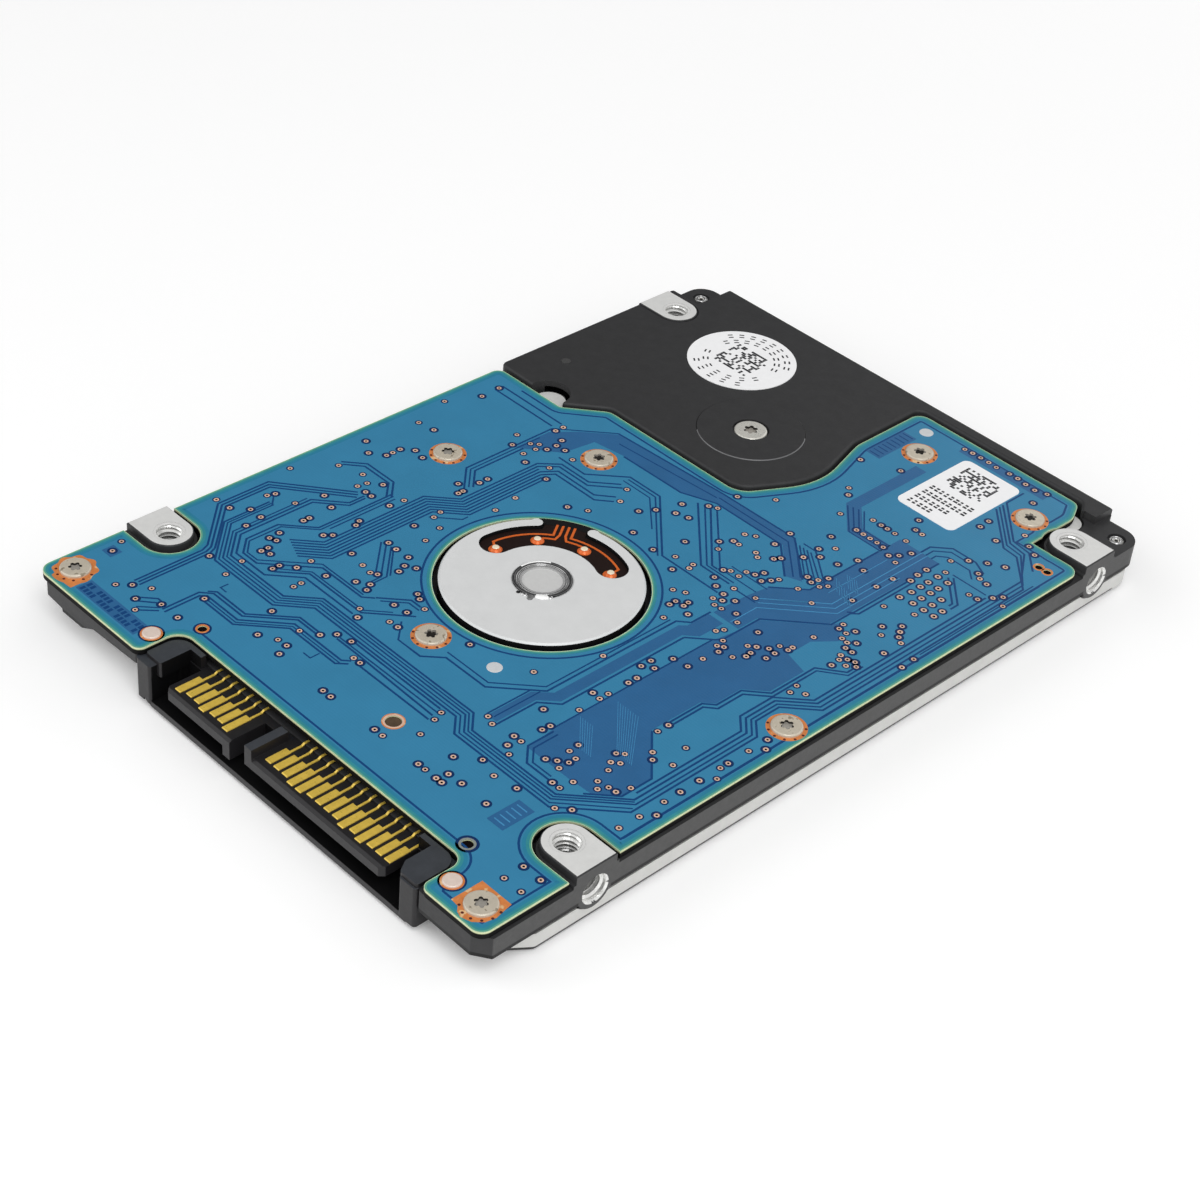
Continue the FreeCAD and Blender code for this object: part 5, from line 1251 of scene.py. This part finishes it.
X_AXIS, Y_AXIS, Z_AXIS = Vector((1, 0, 0)), Vector((0, 1, 0)), Vector((0, 0, 1))
for x, y in TOP_HOLES:
    add_thread(Vector((x, y, CASTING_TOP - 2.65)), Z_AXIS, X_AXIS, Y_AXIS, length=2.35)
    side = 1 if x > 0 else -1
    add_thread(Vector((side * (HALF_WIDTH - 2.2), y, SIDE_HOLE_Z)), Vector((side, 0, 0)),
               Y_AXIS, Z_AXIS, length=1.95)
for x, y in TOP_HOLES:
    threads.lathe(x, y, [(1.40, CASTING_TOP - .24), (1.41, CASTING_TOP - .05),
                         (1.45, CASTING_TOP - .012), (1.72, CASTING_TOP - .004),
                         (1.52, CASTING_TOP - .24)], 48, "casting_machined")
threads.done()

# ------------------------------------------------------------------ motor flex traces
FLEX_ANGLE = 122.7                 # where the traces leave, degrees about the spindle
TRACE_PITCH = 0.66
# joint angle, joint radius, radius of the run, angle from FLEX_ANGLE to the run's start
FLEX_TRACES = [(180.0, 7.35, 8.62, 6.5), (141.3, 7.36, 7.9, 4.5), (99.7, 7.4, 7.9, 4.5),
               (61.7, 7.5, 8.62, 6.5)]


def about_spindle(radius, degrees):
    return polar(*SPINDLE, radius, degrees)


flex = Piece("motor_flex_traces", "solder_copper", "casting_shadowed_paint",
             "solder_bright_centre", slot="solder")
film_top = top_of("motor_flex")
joint_top = top_of("motor_solder_joints")
# painted shadow: a near black sector on the film at the rim gap, where the film runs under the
# board's edge
flex.prism([about_spindle(10.42, a) for a in range(106, 140, 3)]
           + [about_spindle(11.56, a) for a in range(139, 105, -3)],
           film_top - .03, film_top + .010, "casting_shadowed_paint")
across_x, across_y = polar(0, 0, 1, FLEX_ANGLE + 90)
for i, (angle, joint_radius, run_radius, bend) in enumerate(FLEX_TRACES):
    offset = (1.5 - i) * TRACE_PITCH
    points = []
    for radius in (10.55, 8.75):
        x, y = about_spindle(radius, FLEX_ANGLE)
        points.append((x + across_x * offset, y + across_y * offset))
    turn = 1 if angle > FLEX_ANGLE else -1
    first = FLEX_ANGLE + turn * bend
    points += [about_spindle(run_radius, first + (angle - turn * 5 - first) * k / 10)
               for k in range(11)]
    pad_place = about_spindle(7.4, angle)
    flex.strip(points + [pad_place], 0.27, film_top - .03, film_top + .02 + .001 * i)
    flex.lathe(*pad_place, [(0, film_top - .03), (0, film_top + .03), (.60, film_top + .03),
                            (.76, film_top + .012), (.78, film_top - .03)], 22)
    flex.lathe(*about_spindle(joint_radius, angle),
               [(0, joint_top - .08), (0, joint_top + .014), (.18, joint_top + .010),
                (.34, joint_top - .02), (.40, joint_top - .08)], 20, "solder_bright_centre")
flex.done()

# ------------------------------------------------------------------ bearing rings, adhesive and a painted highlight
bearing = Piece("bearing_rings", "bright_chrome", "casting_shadowed_paint", "adhesive_drop",
                "adhesive_white", "bearing_ring_steel", smooth=True)
sleeve_top = top_of("bearing_sleeve")
flange_top = top_of("motor_flange")


def rounded_ring(radius, z, half_width, material=None, rise=0.8):
    """Ring of rounded section standing on height z; rise is its height over half width."""
    angles = [math.pi * k / 8 for k in range(9)]
    profile = [(radius + half_width * math.cos(a), z + half_width * rise * math.sin(a))
               for a in angles]
    profile += [(radius - half_width, z - .04), (radius + half_width, z - .04)]
    bearing.lathe(*SPINDLE, profile, 72, material)


def dark_line(inner, outer, z):
    bearing.lathe(*SPINDLE, [(inner, z - .02), (inner, z + .004), (outer, z + .004),
                             (outer, z - .02)], 72, "casting_shadowed_paint")


rounded_ring(3.03, flange_top, .15, "bearing_ring_steel", rise=0.9)
dark_line(3.16, 3.22, flange_top)
rounded_ring(2.80, sleeve_top, .08)
rounded_ring(2.58, sleeve_top, .06)
dark_line(2.66, 2.70, sleeve_top)
dark_line(2.46, 2.51, sleeve_top)
# painted highlight: a white arc on the far side of the outer ring, from 120 to 186 degrees
bearing.strip([about_spindle(3.0, a) for a in range(120, 187, 3)], .17,
              flange_top, flange_top + .155, "adhesive_white")
# drops: angle, distance from the spindle, radius, material
DROPS = [
    (-89, 3.50, .24, "casting_shadowed_paint"), (-64, 3.38, .38, "adhesive_drop"),
    (-64, 3.66, .34, "adhesive_drop"), (-51, 3.06, .40, "adhesive_white"),
    (-44, 3.10, .46, "adhesive_white"), (-36, 3.16, .38, "adhesive_white"),
    (-28, 3.22, .34, "bright_chrome"), (-22, 3.16, .18, "casting_shadowed_paint"),
    (-76, 3.36, .26, "bright_chrome"), (-82, 3.40, .20, "bright_chrome"),
]
for angle, place, size, material in DROPS:
    bearing.lathe(*about_spindle(place, angle),
                  [(0, flange_top - .06), (0, flange_top + .5 * size),
                   (.5 * size, flange_top + .42 * size), (.85 * size, flange_top + .2 * size),
                   (size, flange_top - .02), (size, flange_top - .06)], 20, material)
bearing.done()

# turned ends of the cover screws in their counterbores
tips = Piece("cover_screw_tips", "bright_chrome", "screw_socket_painted_shade", slot="screw_steel",
             smooth=True)
for x, y, z in COVER_SCREW_TIPS:
    tips.lathe(x, y, [(.30, z - .02), (.34, z + .07), (.46, z + .12), (.60, z + .06),
                      (.66, z - .02)], 40)
    tips.lathe(x, y, [(.66, z - .02), (.70, z + .10), (.76, z + .10), (.79, z - .02)], 40)
    # painted shade: a near black disc at the centre of each tip
    tips.lathe(x, y, [(0, z - .02), (0, z + .02), (.16, z + .02), (.30, z - .02)], 24,
               "screw_socket_painted_shade")
tips.done()


# ------------------------------------------------------------------ flex loop
def make_flex_loop():
    """A copy of the CAD loop that bends between the bracket and the arm."""
    mesh = NODES["flex_loop"].data.copy()
    mesh.name = "flex_loop_strip"
    loop_strip = bpy.data.objects.new("flex_loop_strip", mesh)
    scene.collection.objects.link(loop_strip)
    mesh.materials.clear()
    mesh.materials.append(material_of["arm_flex_film"])
    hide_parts("flex_loop")
    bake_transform(loop_strip)


make_flex_loop()


# ------------------------------------------------------------------ stage (metres)
def make_floor():
    bpy.ops.mesh.primitive_plane_add(size=6.0, location=(0, 0, -0.00005))
    floor = bpy.context.object
    floor.name = "floor"
    shader = shader_parts("floor_pale")[1]
    shader.inputs["Emission Color"].default_value = (1, 1, 1, 1)
    shader.inputs["Emission Strength"].default_value = 0.10
    floor.data.materials.append(material_of["floor_pale"])


def make_world():
    """White to the camera; for light, a soft box that is darker behind and above the part."""
    world = bpy.data.worlds.new("studio")
    scene.world = world
    world.use_nodes = True
    tree = world.node_tree
    tree.nodes.clear()
    white = (1, 1, 1, 1)
    coords = add_node(tree, "TexCoord", {}).outputs["Generated"]
    ray = add_node(tree, "VectorMath", {0: coords}, operation="NORMALIZE").outputs[0]
    facing = add_node(tree, "VectorMath", {0: ray, 1: (-0.5428, 0.5841, 0.6035)},
                      operation="DOT_PRODUCT").outputs["Value"]
    strength = add_node(tree, "MapRange", {"Value": facing, "From Min": 0.55, "From Max": 0.93,
                                           "To Min": 0.80, "To Max": 0.10},
                        interpolation_type="SMOOTHSTEP").outputs[0]
    soft = add_node(tree, "Background", {0: white, 1: strength}).outputs[0]
    seen = add_node(tree, "Background", {0: white, 1: 1.0}).outputs[0]
    to_camera = add_node(tree, "LightPath", {}).outputs["Is Camera Ray"]
    mixed = add_node(tree, "MixShader", {0: to_camera, 1: soft, 2: seen}).outputs[0]
    add_node(tree, "OutputWorld", {0: mixed})


def add_lamp(name, location, size, power):
    """Square area light aimed at the origin."""
    light = bpy.data.lights.new(name, "AREA")
    light.shape = "RECTANGLE"
    light.size = light.size_y = size
    light.energy = power
    lamp = bpy.data.objects.new(name, light)
    scene.collection.objects.link(lamp)
    lamp.location = location
    aim = Vector((0, 0, 0)) - Vector(location)
    lamp.rotation_euler = aim.to_track_quat("-Z", "Y").to_euler()


def make_camera():
    lens = bpy.data.cameras.new("camera")
    camera = bpy.data.objects.new("camera", lens)
    scene.collection.objects.link(camera)
    lens.lens = 73.63095
    lens.sensor_width = 36.0
    lens.clip_start = 0.01
    lens.clip_end = 20.0
    # rotation in the first three columns, place in the last
    camera.matrix_world = Matrix([[0.690077, -0.478734, 0.542777, 0.1451474],
                                  [0.719741, 0.37526, -0.584084, -0.1577997],
                                  [0.075938, 0.793722, 0.603522, 0.1615405],
                                  [0, 0, 0, 1]])
    scene.camera = camera


make_floor()
make_world()
add_lamp("key", location=(0.34, -0.22, 0.52), size=0.34, power=1.48)
add_lamp("fill", location=(-0.30, -0.34, 0.30), size=0.36, power=0.30)
add_lamp("rim", location=(-0.10, 0.46, 0.22), size=0.30, power=0.25)
make_camera()
scene.view_settings.view_transform = "Standard"
scene.view_settings.look = "None"
